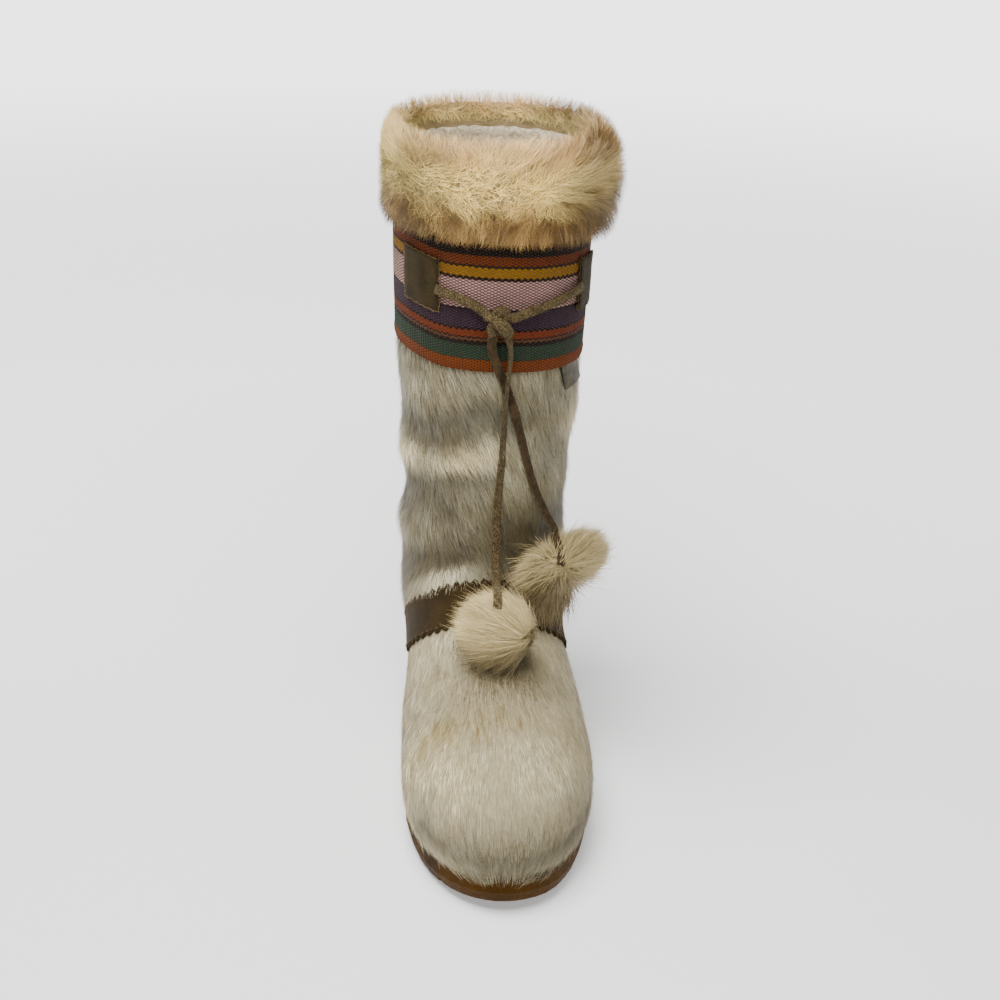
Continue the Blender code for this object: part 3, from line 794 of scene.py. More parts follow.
def cuffTone(points, dice):
    # gold fur, palest round the middle, rosy at the top, grey at the outer side and brown below; the pale
    # middle is partly a painted highlight and the brown below partly painted shade
    z = points[:, 2] / mm
    x = points[:, 0] / mm
    pale, gold, brown, rosy, grey = (shade(*furCuff[k]) for k in ("pale", "gold", "brown", "rosy", "grey"))
    cloud = softNoise(points, 16 * mm, 11)
    small = softNoise(points, 5 * mm, 12)
    tone = np.repeat(gold[None], len(points), axis=0)
    tone = blendTo(tone, pale[None], np.clip(0.2 + hump(z, 348, 16) * 0.95 + (cloud - 0.5) * 0.9, 0, 1))
    tone = blendTo(tone, rosy[None], smoothStep(z + 14 * (cloud - 0.5), 350, 368) * 0.4)
    tone = blendTo(tone, grey[None], smoothStep(x, 20, 56) * 0.7)
    low = smoothStep(z + 26 * (cloud - 0.5), 347, 319) * 0.9
    tone = blendTo(tone, brown[None], np.clip(low * (0.5 + cloud) + (small - 0.6) * 1.5 * (z < 345), 0, 0.9))
    # painted shade on the cuff's left and right sides and a little painted light at its top; lit is a painted
    # highlight on the front middle
    sideShade = 0.25 * smoothStep(np.abs(x - 1), 16, 54) + 0.08 * smoothStep(x, -16, -46)
    tone = tone * (1 - sideShade + 0.06 * smoothStep(z, 350, 358))[:, None]
    lit = hump(z, 347, 12) * hump(x, -6, 34) * (points[:, 1] < legY)
    return tone * ((1 + 0.4 * lit) * dice.uniform(0.9, 1.08, len(points)))[:, None]


def makeCuff():
    # hair parts at the split line all round: above it runs up and over, below it runs down
    dice = rollDice(21)
    verts, faces = arraysOf(weldedMesh("fur_cuff"))
    tip, normal = samplePoints(verts, faces, int(furCuff["strands"] * 1.7), dice)
    turn = np.arctan2(tip[:, 1] - legY, tip[:, 0] - legX)
    flat = np.stack([np.cos(turn), np.sin(turn), np.zeros(len(turn))], 1)
    out = np.hypot(tip[:, 0] - legX, tip[:, 1] - legY) - collarAt(turn)
    onLeg = (out < 3.5 * mm) & (tip[:, 2] < furCuff["rimZ"] * mm)  # the side that lies against the leg
    keep = np.flatnonzero(~onLeg)[:furCuff["strands"]]
    tip, normal, turn, flat, out = tip[keep], normal[keep], turn[keep], flat[keep], out[keep]
    high = (tip[:, 2] / mm - furCuff["middleZ"]) / furCuff["tipHigh"]
    wide = (out / mm - 1) / np.where(out / mm > 1, furCuff["tipOut"], furCuff["tipIn"])
    around = np.arctan2(high, wide)
    split = math.asin((furCuff["splitZ"] - furCuff["middleZ"]) / furCuff["coreHigh"])
    # roots lie on the core, drawn towards the split line and swept aside in waves
    swirl = softNoise(tip, 30 * mm, 31) - 0.5
    sweep = softNoise(tip, 13 * mm, 32) - 0.5
    split = split + (softNoise(tip, 20 * mm, 33) - 0.5) * 1.1 + dice.normal(0, 0.26, len(tip))
    rootAround = split + (around - split) * (0.84 + 0.2 * sweep) + dice.normal(0, 0.1, len(tip))
    aside = np.tanh(swirl * 7) * 0.06 * np.exp(-(((around - split) / 0.9) ** 2))
    rootTurn = turn - (aside + swirl * 0.12 + sweep * 0.14) + dice.normal(0, 0.065, len(tip))
    root = cuffCore(rootTurn, rootAround)
    fuller = 3.2 * smoothStep(tip[:, 0] / mm, 20, 52) * hump(tip[:, 2] / mm, 345, 17)
    tip = tip + normal * ((dice.normal(0.4, 1.1, len(tip)) + fuller) * mm)[:, None]
    tip, tuft = clumpTips(tip, root, furCuff["tuft"] * mm, 0.3, dice, 70)
    tip, guide = clumpTips(tip, root, furCuff["lock"] * mm, 0.45, dice)
    bottom = (furCuff["bottomZ"] + bandRise(*(tip[:, :2] / mm).T) * 0.8 + dice.normal(0, 1.0, len(tip))) * mm
    tip[:, 2] = np.maximum(tip[:, 2], bottom)
    tip = tip + dice.normal(0, 0.5 * mm, tip.shape)
    length = np.linalg.norm(tip - root, axis=1)
    bow = root * 0.45 + tip * 0.55 + normal * (length * 0.2)[:, None]
    spine = bowed(root, bow, tip, np.linspace(0, 1, 4)[None, :, None])
    # each lock has its own tone, and each hair is darker at the root except beside the split, where the roots
    # are lightened as painted light against the parting's shade
    tone = cuffTone(tip, dice)
    lock = dice.uniform(0.88, 1.1, len(tip))[guide] * dice.uniform(0.8, 1.14, len(tip))[tuft]
    atSplit = np.exp(-(((around - split) / 0.6) ** 2))
    deep = np.array([0.55, 0.78, 1.03, 1.16])[None] + atSplit[:, None] * np.array([0.36, 0.22, 0.08, 0])[None]
    colour = (tone * lock[:, None])[:, None] * deep[..., None]
    facing = unit(normal * 0.7 + np.array([0, -0.15, 0.7]) + dice.normal(0, 0.25, tip.shape))
    width = dice.uniform(0.15, 0.28, len(tip)) * mm
    for label, side in (("inner", tip[:, 0] < legX), ("outer", tip[:, 0] >= legX)):
        piece = strandPiece("cuff_fur_" + label, spine[side], facing[side], width[side], colour[side],
                            cuffHair, soft=normal[side], softness=0.45)
        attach(piece, "root")
    fullTurn = 2 * math.pi
    turns, arounds = np.meshgrid(np.arange(120) / 120 * fullTurn, np.linspace(0, fullTurn, 29), indexing="ij")
    core = gridPiece("cuff_skin", np.transpose(cuffCore(turns, arounds), (1, 0, 2)), True, coreFur)
    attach(core, "root")
    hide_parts("fur_cuff")


makeCuff()
print("cuff furred")


# hide: folds, body and lining
# each fold: where it lies round the leg (degrees from the front, outer side positive), height z in mm,
# tilt in degrees (rising towards the outer side), length and width in mm, and depth (troughs are negative)
hideFolds = [
    (-30, 209, 26, 52, 8.0, -2.9), (-30, 195, 12, 60, 7.6, 1.7), (-19, 181, 22, 24, 5.5, -0.9),
    (-46, 163, -26, 40, 6.5, -2.0), (-36, 142, 20, 44, 8.0, 0.6), (-52, 120, 22, 52, 7.5, -2.2),
    (-20, 128, 18, 22, 6.0, -0.9), (22, 148, -14, 34, 9.0, -0.4), (52, 196, -18, 46, 9.0, -1.3),
    (70, 150, 14, 52, 8.0, -1.5), (58, 118, -10, 46, 8.0, -1.2), (120, 176, 10, 60, 9.0, -1.4),
    (150, 132, -12, 56, 8.0, -1.6), (-120, 186, -12, 60, 9.0, -1.5), (-95, 148, 14, 54, 8.0, -1.8),
    (-140, 118, 8, 50, 8.0, -1.5), (180, 214, 4, 60, 10.0, -1.0), (8, 222, 8, 40, 9.0, -0.6),
    (-82, 208, 8, 36, 7.0, -1.0), (-80, 184, 8, 42, 8.0, 1.9), (-84, 160, -6, 38, 7.0, -1.0),
    (-82, 136, 6, 44, 10.0, 1.9), (80, 204, 0, 50, 13.0, 1.4),
]


def foldLift(points):  # how far the hide stands out or in at each point
    turn = np.degrees(np.arctan2(points[:, 0] - legX, legY - points[:, 1]))
    z = points[:, 2] / mm
    lift = np.zeros(len(points))
    for at, height, tilt, length, width, depth in hideFolds:
        along = ((turn - at + 180) % 360 - 180) * 0.92
        up = z - height
        c, s = math.cos(math.radians(tilt)), math.sin(math.radians(tilt))
        run = along * c + up * s
        off = up * c - along * s
        off = off + 2.5 * np.sin(run * 0.11 + at)  # no crease runs straight
        lift += 1.5 * depth * np.exp(-((off / (width * 1.3)) ** 2)) * np.exp(-((run / (length * 0.62)) ** 4))
    broad = (softNoise(points, 34 * mm, 71) - 0.5) * 1.6 + (softNoise(points, 15 * mm, 72) - 0.5) * 0.7
    onLeg = smoothStep(z, 86, 108) * smoothStep(z, 243, 232)
    onVamp = smoothStep(z, 92, 80) * 0.35
    return np.maximum(lift * onLeg + broad * (onLeg + onVamp), -2.2) * mm  # never as deep as the wall


def subdivided(node):
    work = weldedMesh(node)
    mesh = bpy.data.meshes.new(node + "_draft")
    work.to_mesh(mesh)
    work.free()
    draft = bpy.data.objects.new(node + "_draft", mesh)
    bpy.context.scene.collection.objects.link(draft)
    step = draft.modifiers.new("round", "SUBSURF")
    step.levels = 1
    done = bpy.data.meshes.new_from_object(draft.evaluated_get(bpy.context.evaluated_depsgraph_get()))
    bpy.data.objects.remove(draft)
    bpy.data.meshes.remove(mesh)
    return done


def hideFinish():
    material, tree, shader = newFinish("hide_skin", 0.85, 0.2)
    where = objectPlace(tree, (1, 1, 0.25))
    parts = tree.nodes.new("ShaderNodeSeparateXYZ")
    tree.links.new(objectPlace(tree), parts.inputs[0])
    streak = noise(tree, where, 420, 4, 0.6)
    # the leg's skin is darker than the vamp's, as its hair is: darker hide and painted shade
    leg = mixShades(tree, streak, shade(84, 74, 52), shade(128, 116, 86))
    vamp = mixShades(tree, streak, shade(128, 116, 88), shade(186, 175, 142))
    setColour(tree, shader, mixShades(tree, ramp(tree, parts.outputs[2], 0.085, 0.12), vamp, leg))
    bump(tree, shader, streak, 0.5 * mm)
    return material


def liningFinish():
    material, tree, shader = newFinish("pile_lining", 0.95, 0.1)
    where = objectPlace(tree)
    curl = noise(tree, where, 260, 5, 0.65, 1.2)
    pile = mixShades(tree, ramp(tree, curl, 0.3, 0.7), shade(168, 150, 118), shade(226, 214, 188))
    setColour(tree, shader, pile)
    shader.inputs["Sheen Weight"].default_value = 0.3
    bump(tree, shader, curl, 1.5 * mm)
    return material


def vertexValues(mesh, kind):
    values = np.empty(len(mesh.vertices) * 3, np.float32)
    mesh.vertices.foreach_get(kind, values)
    return values.reshape(-1, 3).astype(float)


def makeHide():
    mesh = subdivided("upper")
    count = len(mesh.vertices)
    verts, normals = vertexValues(mesh, "co"), vertexValues(mesh, "normal")
    inside = np.zeros(count, bool)
    for k, (point, normal) in enumerate(zip(verts, normals)):
        start = Vector(point + normal * 0.8 * mm)
        inside[k] = upperTree.ray_cast(start, Vector(normal), 0.25)[0] is not None
    # by the collar's rim a ray can slip past the wall, so there the way that the face looks decides
    inward = (verts[:, 0] - legX) * normals[:, 0] + (verts[:, 1] - legY) * normals[:, 1] < 0
    inside = np.where(verts[:, 2] > 0.2, inward, inside)
    moved = verts + normals * (foldLift(verts) * ~inside)[:, None]
    mesh.vertices.foreach_set("co", moved.astype(np.float32).ravel())
    mesh.update()
    mesh.materials.clear()
    piece = addPiece("hide", mesh, hideFinish())
    mesh.materials.append(liningFinish())
    for face in mesh.polygons:
        face.use_smooth = True
        if inside[list(face.vertices)].mean() > 0.5:
            face.material_index = 1
    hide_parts("upper")
    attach(piece, "root")
    mesh.calc_loop_triangles()
    corners = np.empty(len(mesh.loop_triangles) * 3, np.int32)
    mesh.loop_triangles.foreach_get("vertices", corners)
    corners = corners.reshape(-1, 3)
    outer = ~inside[corners].any(axis=1)
    return moved, corners[outer]


hideVerts, hideFaces = makeHide()
print("hide folded")


# hair of the hide
hideHairPlan = {
    "vampStrands": 50000, "legStrands": 100000, "vampLength": 8.5, "legLength": 11,
    "locks": 2.2, "white": (242, 232, 196), "cream": (210, 195, 150), "ash": (152, 138, 102),
    "olive": (126, 108, 64), "stain": (146, 125, 58), "speck": (84, 64, 38), "shadow": (112, 95, 60),
}


def strapShare(points):  # 0 at the strap's lower edge, 1 at its upper one
    y, z = points[:, 1] / mm, points[:, 2] / mm
    low = np.interp(y, strapEdges["y"], strapEdges["low"])
    high = np.interp(y, strapEdges["y"], strapEdges["high"])
    return (z - low) / (high - low)


def hideTone(points, onVamp, dice):
    # every place is in millimetres, and each shade is laid over the ones before it
    x, y, z = (points / mm).T
    shades = ("white", "cream", "ash", "olive", "stain", "speck", "shadow")
    white, cream, ash, olive, stain, speck, shadow = (shade(*hideHairPlan[k])[None] for k in shades)
    wide = softNoise(points, 26 * mm, 41)
    patch = softNoise(points, 9 * mm, 42)
    grain = np.where(onVamp[:, None], np.array([1, 0.3, 0.5]), np.array([1, 1, 0.25]))
    fine = softNoise(points * grain, 1.6 * mm, 43)  # drawn out along the hair
    tone = np.repeat(cream, len(points), axis=0)
    tone = blendTo(tone, white, np.clip(0.5 + (patch - 0.5) * 1.5 + (wide - 0.5), 0, 1) * 0.8)
    tone = blendTo(tone, ash, np.clip((fine - 0.5) * 1.9 + (wide - 0.5) * 0.6, 0, 0.7))
    # vamp: a tan band with darker olive lines along its creases, greyer hair and painted shade to the outer
    # side and beside the pompom, and a painted shadow below the pompom over darker hair
    tanBand = hump(y - 0.12 * x, -68, 15) * smoothStep(z, 46, 62)
    tanBand = tanBand * np.clip(0.55 + 0.9 * (patch - 0.45) + 0.9 * (fine - 0.45), 0, 0.9)
    tanBand = tanBand * (0.4 + 0.6 * smoothStep(x, 34, -6))
    tanSpot = hump(x, -22, 14) * hump(y, -46, 12) * 0.35
    tone = blendTo(tone, stain, np.clip(tanBand * 1.15 + tanSpot, 0, 0.9) * onVamp)
    creased = np.clip(hump(y + 0.2 * x, -70, 4) * hump(x, -2, 15) * (fine - 0.35) * 3, 0, 0.75)
    creased = creased + np.clip(hump(y - 0.3 * x, -52, 3) * hump(x, -24, 12) * (fine - 0.4) * 2, 0, 0.5)
    tone = blendTo(tone, olive, np.clip(creased, 0, 0.8) * onVamp)
    # greyer hair and painted shade beside the pompom and to the outer side
    outerShade = hump(x, 22, 20) * hump(y, -30, 22) * 0.8 + smoothStep(x, 26, 50) * 0.3
    tone = blendTo(tone, ash, np.clip(outerShade * (0.6 + 0.8 * wide), 0, 0.8) * onVamp)
    # painted shadow of the pompom on the vamp, over hair that is darker there too
    under = hump(x, 3, 28) * hump(y, -41, 22)
    tone = blendTo(tone, shadow, np.clip(under * (0.75 + 0.5 * patch), 0, 0.85) * onVamp)
    # painted light on the inner front of the vamp
    tone = tone * (1 + 0.42 * smoothStep(x, -8, -34) * onVamp * smoothStep(y, -50, -70))[:, None]
    # painted shade low on the toe's downturned front, lifted a little at its lowest edge
    toeShade = smoothStep(z, 64, 36) * (0.6 + 0.4 * smoothStep(z, 24, 34)) * smoothStep(y, -60, -110)
    tone = tone * (1 - 0.7 * toeShade * onVamp)[:, None]
    # leg: olive in front and low down, greyer hair and painted shade to the outer side, painted shade in the
    # folds and painted highlight on their ridges, and darker overall from darker hair and painted shade
    yellow = hump(x, 14, 14) * hump(z, 146, 20) * (y < 40)
    low = smoothStep(z, 160, 112) * 0.25
    tone = blendTo(tone, olive, np.clip((yellow * 0.75 + low) * (0.4 + patch) * ~onVamp, 0, 0.8))
    # greyer hair and painted shade to the outer side
    tone = blendTo(tone, ash, smoothStep(x, 12, 46) * 0.16)
    # the folds: painted shade in the troughs and painted highlight on the ridges
    fold = foldLift(points) / mm
    highUp = smoothStep(z, 165, 182)
    troughShade = (0.34 + 0.18 * highUp) * np.clip(-fold / 2.1, 0, 1)
    ridgeLight = (0.35 + 1.15 * highUp) * np.clip(fold / 2, 0, 1)
    tone = tone * (1 - troughShade * ~onVamp + ridgeLight * ~onVamp)[:, None]
    # the leg darker than the vamp, most of all lower down: darker hair and painted shade of the upright leg
    tone = tone * np.where(onVamp, 1.0, 0.53 - 0.08 * smoothStep(z, 194, 174))[:, None]
    # just above the strap: murky hair, then a white tuft on the inner side and olive on the outer one
    above = z - np.interp(y, strapEdges["y"], strapEdges["high"])
    tuft = smoothStep(above, -3, 1) * smoothStep(above, 23, 15) * hump(x, -27, 14) * (y < 50) * ~onVamp
    murky = smoothStep(above, 17, 24) * smoothStep(above, 56, 36) * (y < 66) * (0.3 + 0.7 * patch)
    tone = blendTo(tone, shadow * 0.62, np.clip(murky * 0.55 * smoothStep(x, 12, -6), 0, 0.6) * ~onVamp)
    tone = blendTo(tone, white, np.clip(tuft * (0.6 + 0.6 * fine), 0, 0.85))
    tone = blendTo(tone, olive, smoothStep(above, 16, 4) * smoothStep(x, -12, 4) * 0.6 * ~onVamp)
    dark = dice.random(len(points)) < 0.016
    tone = np.where(dark[:, None], blendTo(tone, speck, np.full(len(points), 0.75)), tone)
    return tone * (1 + dice.uniform(-0.3, 0.24, len(points)))[:, None]


def growHide():
    dice = rollDice(51)
    total = hideHairPlan["vampStrands"] + hideHairPlan["legStrands"]
    root, normal = samplePoints(hideVerts, hideFaces, int(total * 2.2), dice)
    share = strapShare(root)
    x, y, z = (root / mm).T
    onVamp = (share < 0.08) & (y < 95)  # below the strap
    underStrap = (share > 0.08) & (share < 0.97)
    underBand = z > bandSlant["lowZ"] + bandRise(x, y) + bandLift(x) + 2.5
    covered = (normal[:, 2] < -0.75) & (z < 40)  # on the sole
    strapEnd = z + np.where(x > 0, 57.5, 67)  # the strap is cut off slantwise beside the heel
    free = ~(underStrap & (y < strapEnd)) & ~underBand & ~covered
    vamp = np.flatnonzero(free & onVamp)
    toeEdge = (z[vamp] < 35) & (y[vamp] < -60)  # thicker where it hangs over the sole
    vamp = np.concatenate([vamp[toeEdge], vamp[~toeEdge]])[:hideHairPlan["vampStrands"]]
    leg = np.flatnonzero(free & ~onVamp)[:hideHairPlan["legStrands"]]
    print("hair roots", len(vamp), len(leg))
    keep = np.concatenate([vamp, leg])
    root, normal, onVamp = root[keep], normal[keep], onVamp[keep]
    byStrap = y[keep] < strapEnd[keep]
    x, y, z = (root / mm).T
    # hair flows down the leg, leaning to the outer side in front, and forwards over the vamp
    lean = softNoise(root, 32 * mm, 61) - 0.5
    swirl = softNoise(root, 10 * mm, 62) - 0.5
    legLean = 0.16 + 0.36 * smoothStep(x, 22, -24) * (y < 66) + lean * 0.7 + swirl * 0.5
    legLean = np.where(z < 132, legLean - 0.45 * smoothStep(z, 132, 112) * smoothStep(x, 5, -30), legLean)
    down = -np.ones(len(x))
    flowLeg = np.stack([legLean * (y < 80), 0.25 * np.where(y > 66, 0.3, -0.1) + swirl * 0.3, down], 1)
    flowVamp = np.stack([x * 0.004 + lean * 0.25 + swirl * 0.12, down, -0.55 - 0.1 * swirl], 1)
    flow = np.where(onVamp[:, None], flowVamp, flowLeg)
    flow = unit(flow - normal * np.sum(flow * normal, 1, keepdims=True))
    flow = unit(flow + dice.normal(0, 1, flow.shape) * np.where(onVamp, 0.055, 0.09)[:, None])
    length = np.where(onVamp, hideHairPlan["vampLength"], hideHairPlan["legLength"])
    length = length * dice.uniform(0.6, 1.2, len(x)) * mm
    # above the strap it is trimmed, less so in a tuft on the inner side, and over the toe it is ragged
    above = z - np.interp(y, strapEdges["y"], strapEdges["high"])
    tuft = hump(x, -24, 14) * (y < 66)
    length = np.where(~onVamp & byStrap, np.minimum(length, (above * 1.05 + 1 + 5 * tuft) * mm), length)
    length = np.where(onVamp & (z < 38) & (y < -60), length * dice.uniform(0.7, 1.25, len(x)), length)
    rise = np.where(onVamp, 0.12, 0.17) * dice.uniform(0.5, 1.5, len(x))
    middle = root + flow * (length * 0.5)[:, None] + normal * (length * 0.5 * rise)[:, None]
    tip = root + flow * length[:, None] + normal * (length * (rise * 0.75 + 0.02))[:, None]
    tip, guide = clumpTips(tip, root, hideHairPlan["locks"] * mm, 0.4, dice, 9)
    for k in np.flatnonzero((tip[:, 2] < 0.045) & (tip[:, 2] < root[:, 2])):
        for point in (middle, tip):  # hair that hangs into the sole's edge is laid over it
            spot = Vector(point[k])
            outward = Vector((spot.x * 1.2, spot.y if abs(spot.y) > 0.09 else 0, 0)).normalized()
            hit = soleTree.ray_cast(spot + outward * 0.03, -outward, 0.034)[0]
            if hit is not None and -0.8 * mm < (hit - spot).dot(outward) < 4 * mm:
                point[k] = hit + outward * 0.8 * mm
    spine = np.stack([root - normal * 0.3 * mm, middle, tip], 1)
    tone = hideTone(root, onVamp, dice)
    lock = 1 + dice.uniform(-0.17, 0.15, len(x))[guide]
    colour = (tone * lock[:, None])[:, None] * np.array([0.56, 0.95, 1.1])[None, :, None]
    facing = unit(normal + dice.normal(0, 0.25, normal.shape))
    width = np.where(onVamp, 0.86, 1) * dice.uniform(0.2, 0.36, len(x)) * mm
    innerSide = x < legX / mm
    groups = (
        ("vamp_hair", onVamp),
        ("leg_hair_inner", ~onVamp & innerSide),
        ("leg_hair_outer", ~onVamp & ~innerSide),
    )
    for name, group in groups:
        piece = strandPiece(name, spine[group], facing[group], width[group], colour[group], hideHair,
                            soft=normal[group], softness=0.62)
        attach(piece, "root")
        print(name, int(group.sum()), "hairs")


growHide()


# woven band
wovenBand = {
    "columns": 300, "rows": 40, "low": 0.7, "high": 70.4, "rib": 1.62, "zigzag": 3.3, "lattice": (3.3, 1.6),
    # height of each stripe's lower edge above the band's own lower edge, in millimetres
    "stripes": [
        (0.0, "orange"), (6.6, "seam"), (7.1, "teal"), (15.0, "black"), (17.4, "dots"), (18.7, "black"),
        (19.4, "orange"), (23.4, "black"), (24.6, "purple"), (34.6, "black"), (35.5, "pink"), (51.2, "black"),
        (52.7, "yellow"), (57.9, "black"), (59.2, "rust"), (64.2, "black"), (76, "black"),
    ],
    "colours": {
        "orange": (106, 47, 2), "seam": (28, 13, 4), "teal": (31, 52, 38), "black": (7, 4, 5),
        "dots": (94, 58, 36), "purple": (46, 30, 46), "pink": (122, 84, 78), "yellow": (132, 96, 3),
        "rust": (92, 37, 3),
    },
}


def bandBottom(x, y):
    return bandSlant["lowZ"] + bandRise(x, y) + bandLift(x)


def bandPoint(turn, high):  # a point on the band's face: turn round the leg in radians, height in millimetres
    aim = Vector((math.sin(turn), -math.cos(turn), 0))
    out = 0.055  # a first guess, because the height depends on the place
    for _ in range(3):
        x, y = legX + aim.x * out, legY + aim.y * out
        z = (bandBottom(x / mm, y / mm) + high) * mm
        hit = bandTree.ray_cast(Vector((legX, legY, z)) + aim * rayStart, -aim, rayReach)[0]
        if hit is None:
            return None
        out = math.hypot(hit.x - legX, hit.y - legY)
    return np.array(hit)


def bandFace():
    columns = wovenBand["columns"]
    turns = np.linspace(-math.pi, math.pi, columns)
    highs = np.linspace(wovenBand["low"], wovenBand["high"], wovenBand["rows"])
    face = np.zeros((len(highs), columns, 3))
    for r, high in enumerate(highs):
        for c, turn in enumerate(turns[:-1]):
            found = bandPoint(turn, high)
            face[r, c] = found if found is not None else face[r - 1, c] + np.array([0, 0, 1.8 * mm])
    face[:, -1] = face[:, 0]
    for _ in range(4):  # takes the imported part's facets out
        ring = face[:, :-1]
        ring = (np.roll(ring, 1, 1) + 2 * ring + np.roll(ring, -1, 1)) / 4
        face[:, :-1] = ring
        face[:, -1] = ring[:, 0]
    return turns, highs, face


def weaveFinish():
    material, tree, shader = newFinish("woven_band", 0.9, 0.06)
    place = tree.nodes.new("ShaderNodeUVMap")
    place.uv_map = "weave"
    parts = tree.nodes.new("ShaderNodeSeparateXYZ")
    tree.links.new(place.outputs[0], parts.inputs[0])
    u, v = parts.outputs[0], parts.outputs[1]  # both in millimetres on the band
    where = objectPlace(tree)
    # stripes with wavy edges, and zigzags at the edges of the narrow orange and the yellow one
    wobble = times(tree, maths(tree, "SUBTRACT", noise(tree, where, 130, 2), 0.5), 0.9)
    halfZigzag = wovenBand["zigzag"] / 2
    swing = maths(tree, "DIVIDE", maths(tree, "PINGPONG", u, halfZigzag), halfZigzag)
    zigzagged = plus(tree, within(tree, v, 20.6, 5.4), within(tree, v, 55.4, 5.6))
    reach = plus(tree, times(tree, zigzagged, 0.85), 0.25)
    swing = times(tree, maths(tree, "SUBTRACT", swing, 0.5), reach)
    level = plus(tree, plus(tree, v, wobble), swing)
    stripes = tree.nodes.new("ShaderNodeValToRGB")
    stripes.color_ramp.interpolation = "CONSTANT"
    span = wovenBand["stripes"][-1][0]
    marks = stripes.color_ramp.elements
    for k, (low, colour) in enumerate(wovenBand["stripes"][:-1]):
        mark = marks[k] if k < 1 else marks.new(low / span)
        mark.position = low / span
        mark.color = (*shade(*wovenBand["colours"][colour]), 1)
    marks[len(marks) - 1].color = (*shade(*wovenBand["colours"]["black"]), 1)
    tree.links.new(maths(tree, "DIVIDE", level, span), stripes.inputs["Fac"])
    # a lattice of small lozenges on three of the stripes, upright ribs on the others
    wide, high = wovenBand["lattice"]
    lattice = times(tree, maths(tree, "COSINE", times(tree, u, 2 * math.pi / wide)),
                    maths(tree, "COSINE", times(tree, v, 2 * math.pi / high)))
    onPink = within(tree, v, 43.35, 7.8)
    onDash = plus(tree, onPink, within(tree, v, 21.6, 2.2))
    onDash = plus(tree, onDash, within(tree, v, 55.3, 2.6), clamp=True)
    plain = rest(tree, onDash)
    dash = ramp(tree, lattice, -0.15, 0.45)
    lozenges = times(tree, onPink, times(tree, dash, 0.62))
    woven = mixShades(tree, lozenges, stripes.outputs[0], shade(212, 184, 170))
    lines = times(tree, onDash, times(tree, rest(tree, dash), 0.5))
    woven = mixShades(tree, lines, woven, shade(70, 34, 44))
    rib = maths(tree, "DIVIDE", maths(tree, "PINGPONG", u, wovenBand["rib"] / 2), wovenBand["rib"] / 2)
    ribs = times(tree, ramp(tree, rib, 0.5, 0.0, 0, 0.55), plain)
    woven = mixShades(tree, ribs, woven, shade(30, 18, 18))
    fleck = times(tree, plain, ramp(tree, lattice, 0.1, 0.8, 0, 0.075))
    woven = mixShades(tree, fleck, woven, shade(176, 160, 132))
    gaps = times(tree, plain, ramp(tree, lattice, -0.1, -0.8, 0, 0.6))
    woven = mixShades(tree, gaps, woven, shade(24, 14, 14))
    # wear
    thread = noise(tree, where, 1500, 3, 0.7)
    woven = mixShades(tree, ramp(tree, thread, 0.55, 0.8, 0, 0.2), woven, shade(150, 128, 96))
    worn = ramp(tree, noise(tree, where, 60, 3), 0.3, 0.75, 0.0, 0.22)
    setColour(tree, shader, mixShades(tree, worn, woven, shade(48, 38, 30)))
    shader.inputs["Sheen Weight"].default_value = 0.02
    relief = plus(tree, times(tree, rib, plain), times(tree, times(tree, lattice, onDash), 0.8))
    bump(tree, shader, plus(tree, relief, times(tree, thread, 0.7)), 0.4 * mm)
    return material


def makeBand():
    turns, highs, face = bandFace()
    out = awayFromLeg(face)
    # the lower edge is a turned hem: it bulges, with a seam's dip above it
    turned = 0.45 * hump(highs, 3.2, 3.0) - 0.25 * hump(highs, 6.9, 0.8) - 0.15 * hump(highs, 17, 1.5)
    face = face + out * (turned * mm)[:, None, None]
    steps = ((1.9, -0.2), (1.2, -0.75), (0.35, -0.6))
    hem = [face[0] - out[0] * s * mm + np.array([0, 0, z * mm]) for s, z in steps]
    top = [face[-1] - out[-1] * 1.6 * mm]
    points = np.concatenate([np.stack(hem), face, np.stack(top)])
    arc = lengthAlong(face[0]) / mm
    arc = arc - np.interp(0, turns, arc)
    u = np.repeat(arc[None], len(points), axis=0)
    v = np.repeat(np.concatenate([[0, 0, 0.3], highs, [72]])[:, None], len(arc), axis=1)
    piece = gridPiece("woven_band", points, False, weaveFinish(), np.stack([u, v], -1))
    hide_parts("band")
    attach(piece, "root")


makeBand()
print("band woven")


# small sewn parts: tabs, label, ankle strap
suedeShades = {
    "light": (52, 41, 17), "dark": (17, 12, 4), "tabFuzz": (116, 98, 66), "tabThread": (34, 26, 22),
    "strapLight": (51, 38, 16), "strapDark": (27, 20, 9), "strapFuzz": (70, 54, 34),
    "strapThread": (96, 74, 46),
}
sewing = {"thick": 0.5 * mm, "tabPitch": 3.1 * mm, "tabLong": 1.7 * mm, "tabSkew": 0.25 * mm,
          "strapPitch": 3.7 * mm, "strapLong": 2.3 * mm}
# turns in degrees from the front, heights above the band's lower edge in millimetres, and ragged tells the
# torn side: 1 where the turns end, -1 where they begin
tabPlans = {
    "tab_inner": {"turns": (-55.5, -29.6), "low": 31.0, "high": 59.6, "ragged": 1},
    "tab_outer": {"turns": (48.0, 71.5), "low": 31.5, "high": 60.2, "ragged": -1},
}


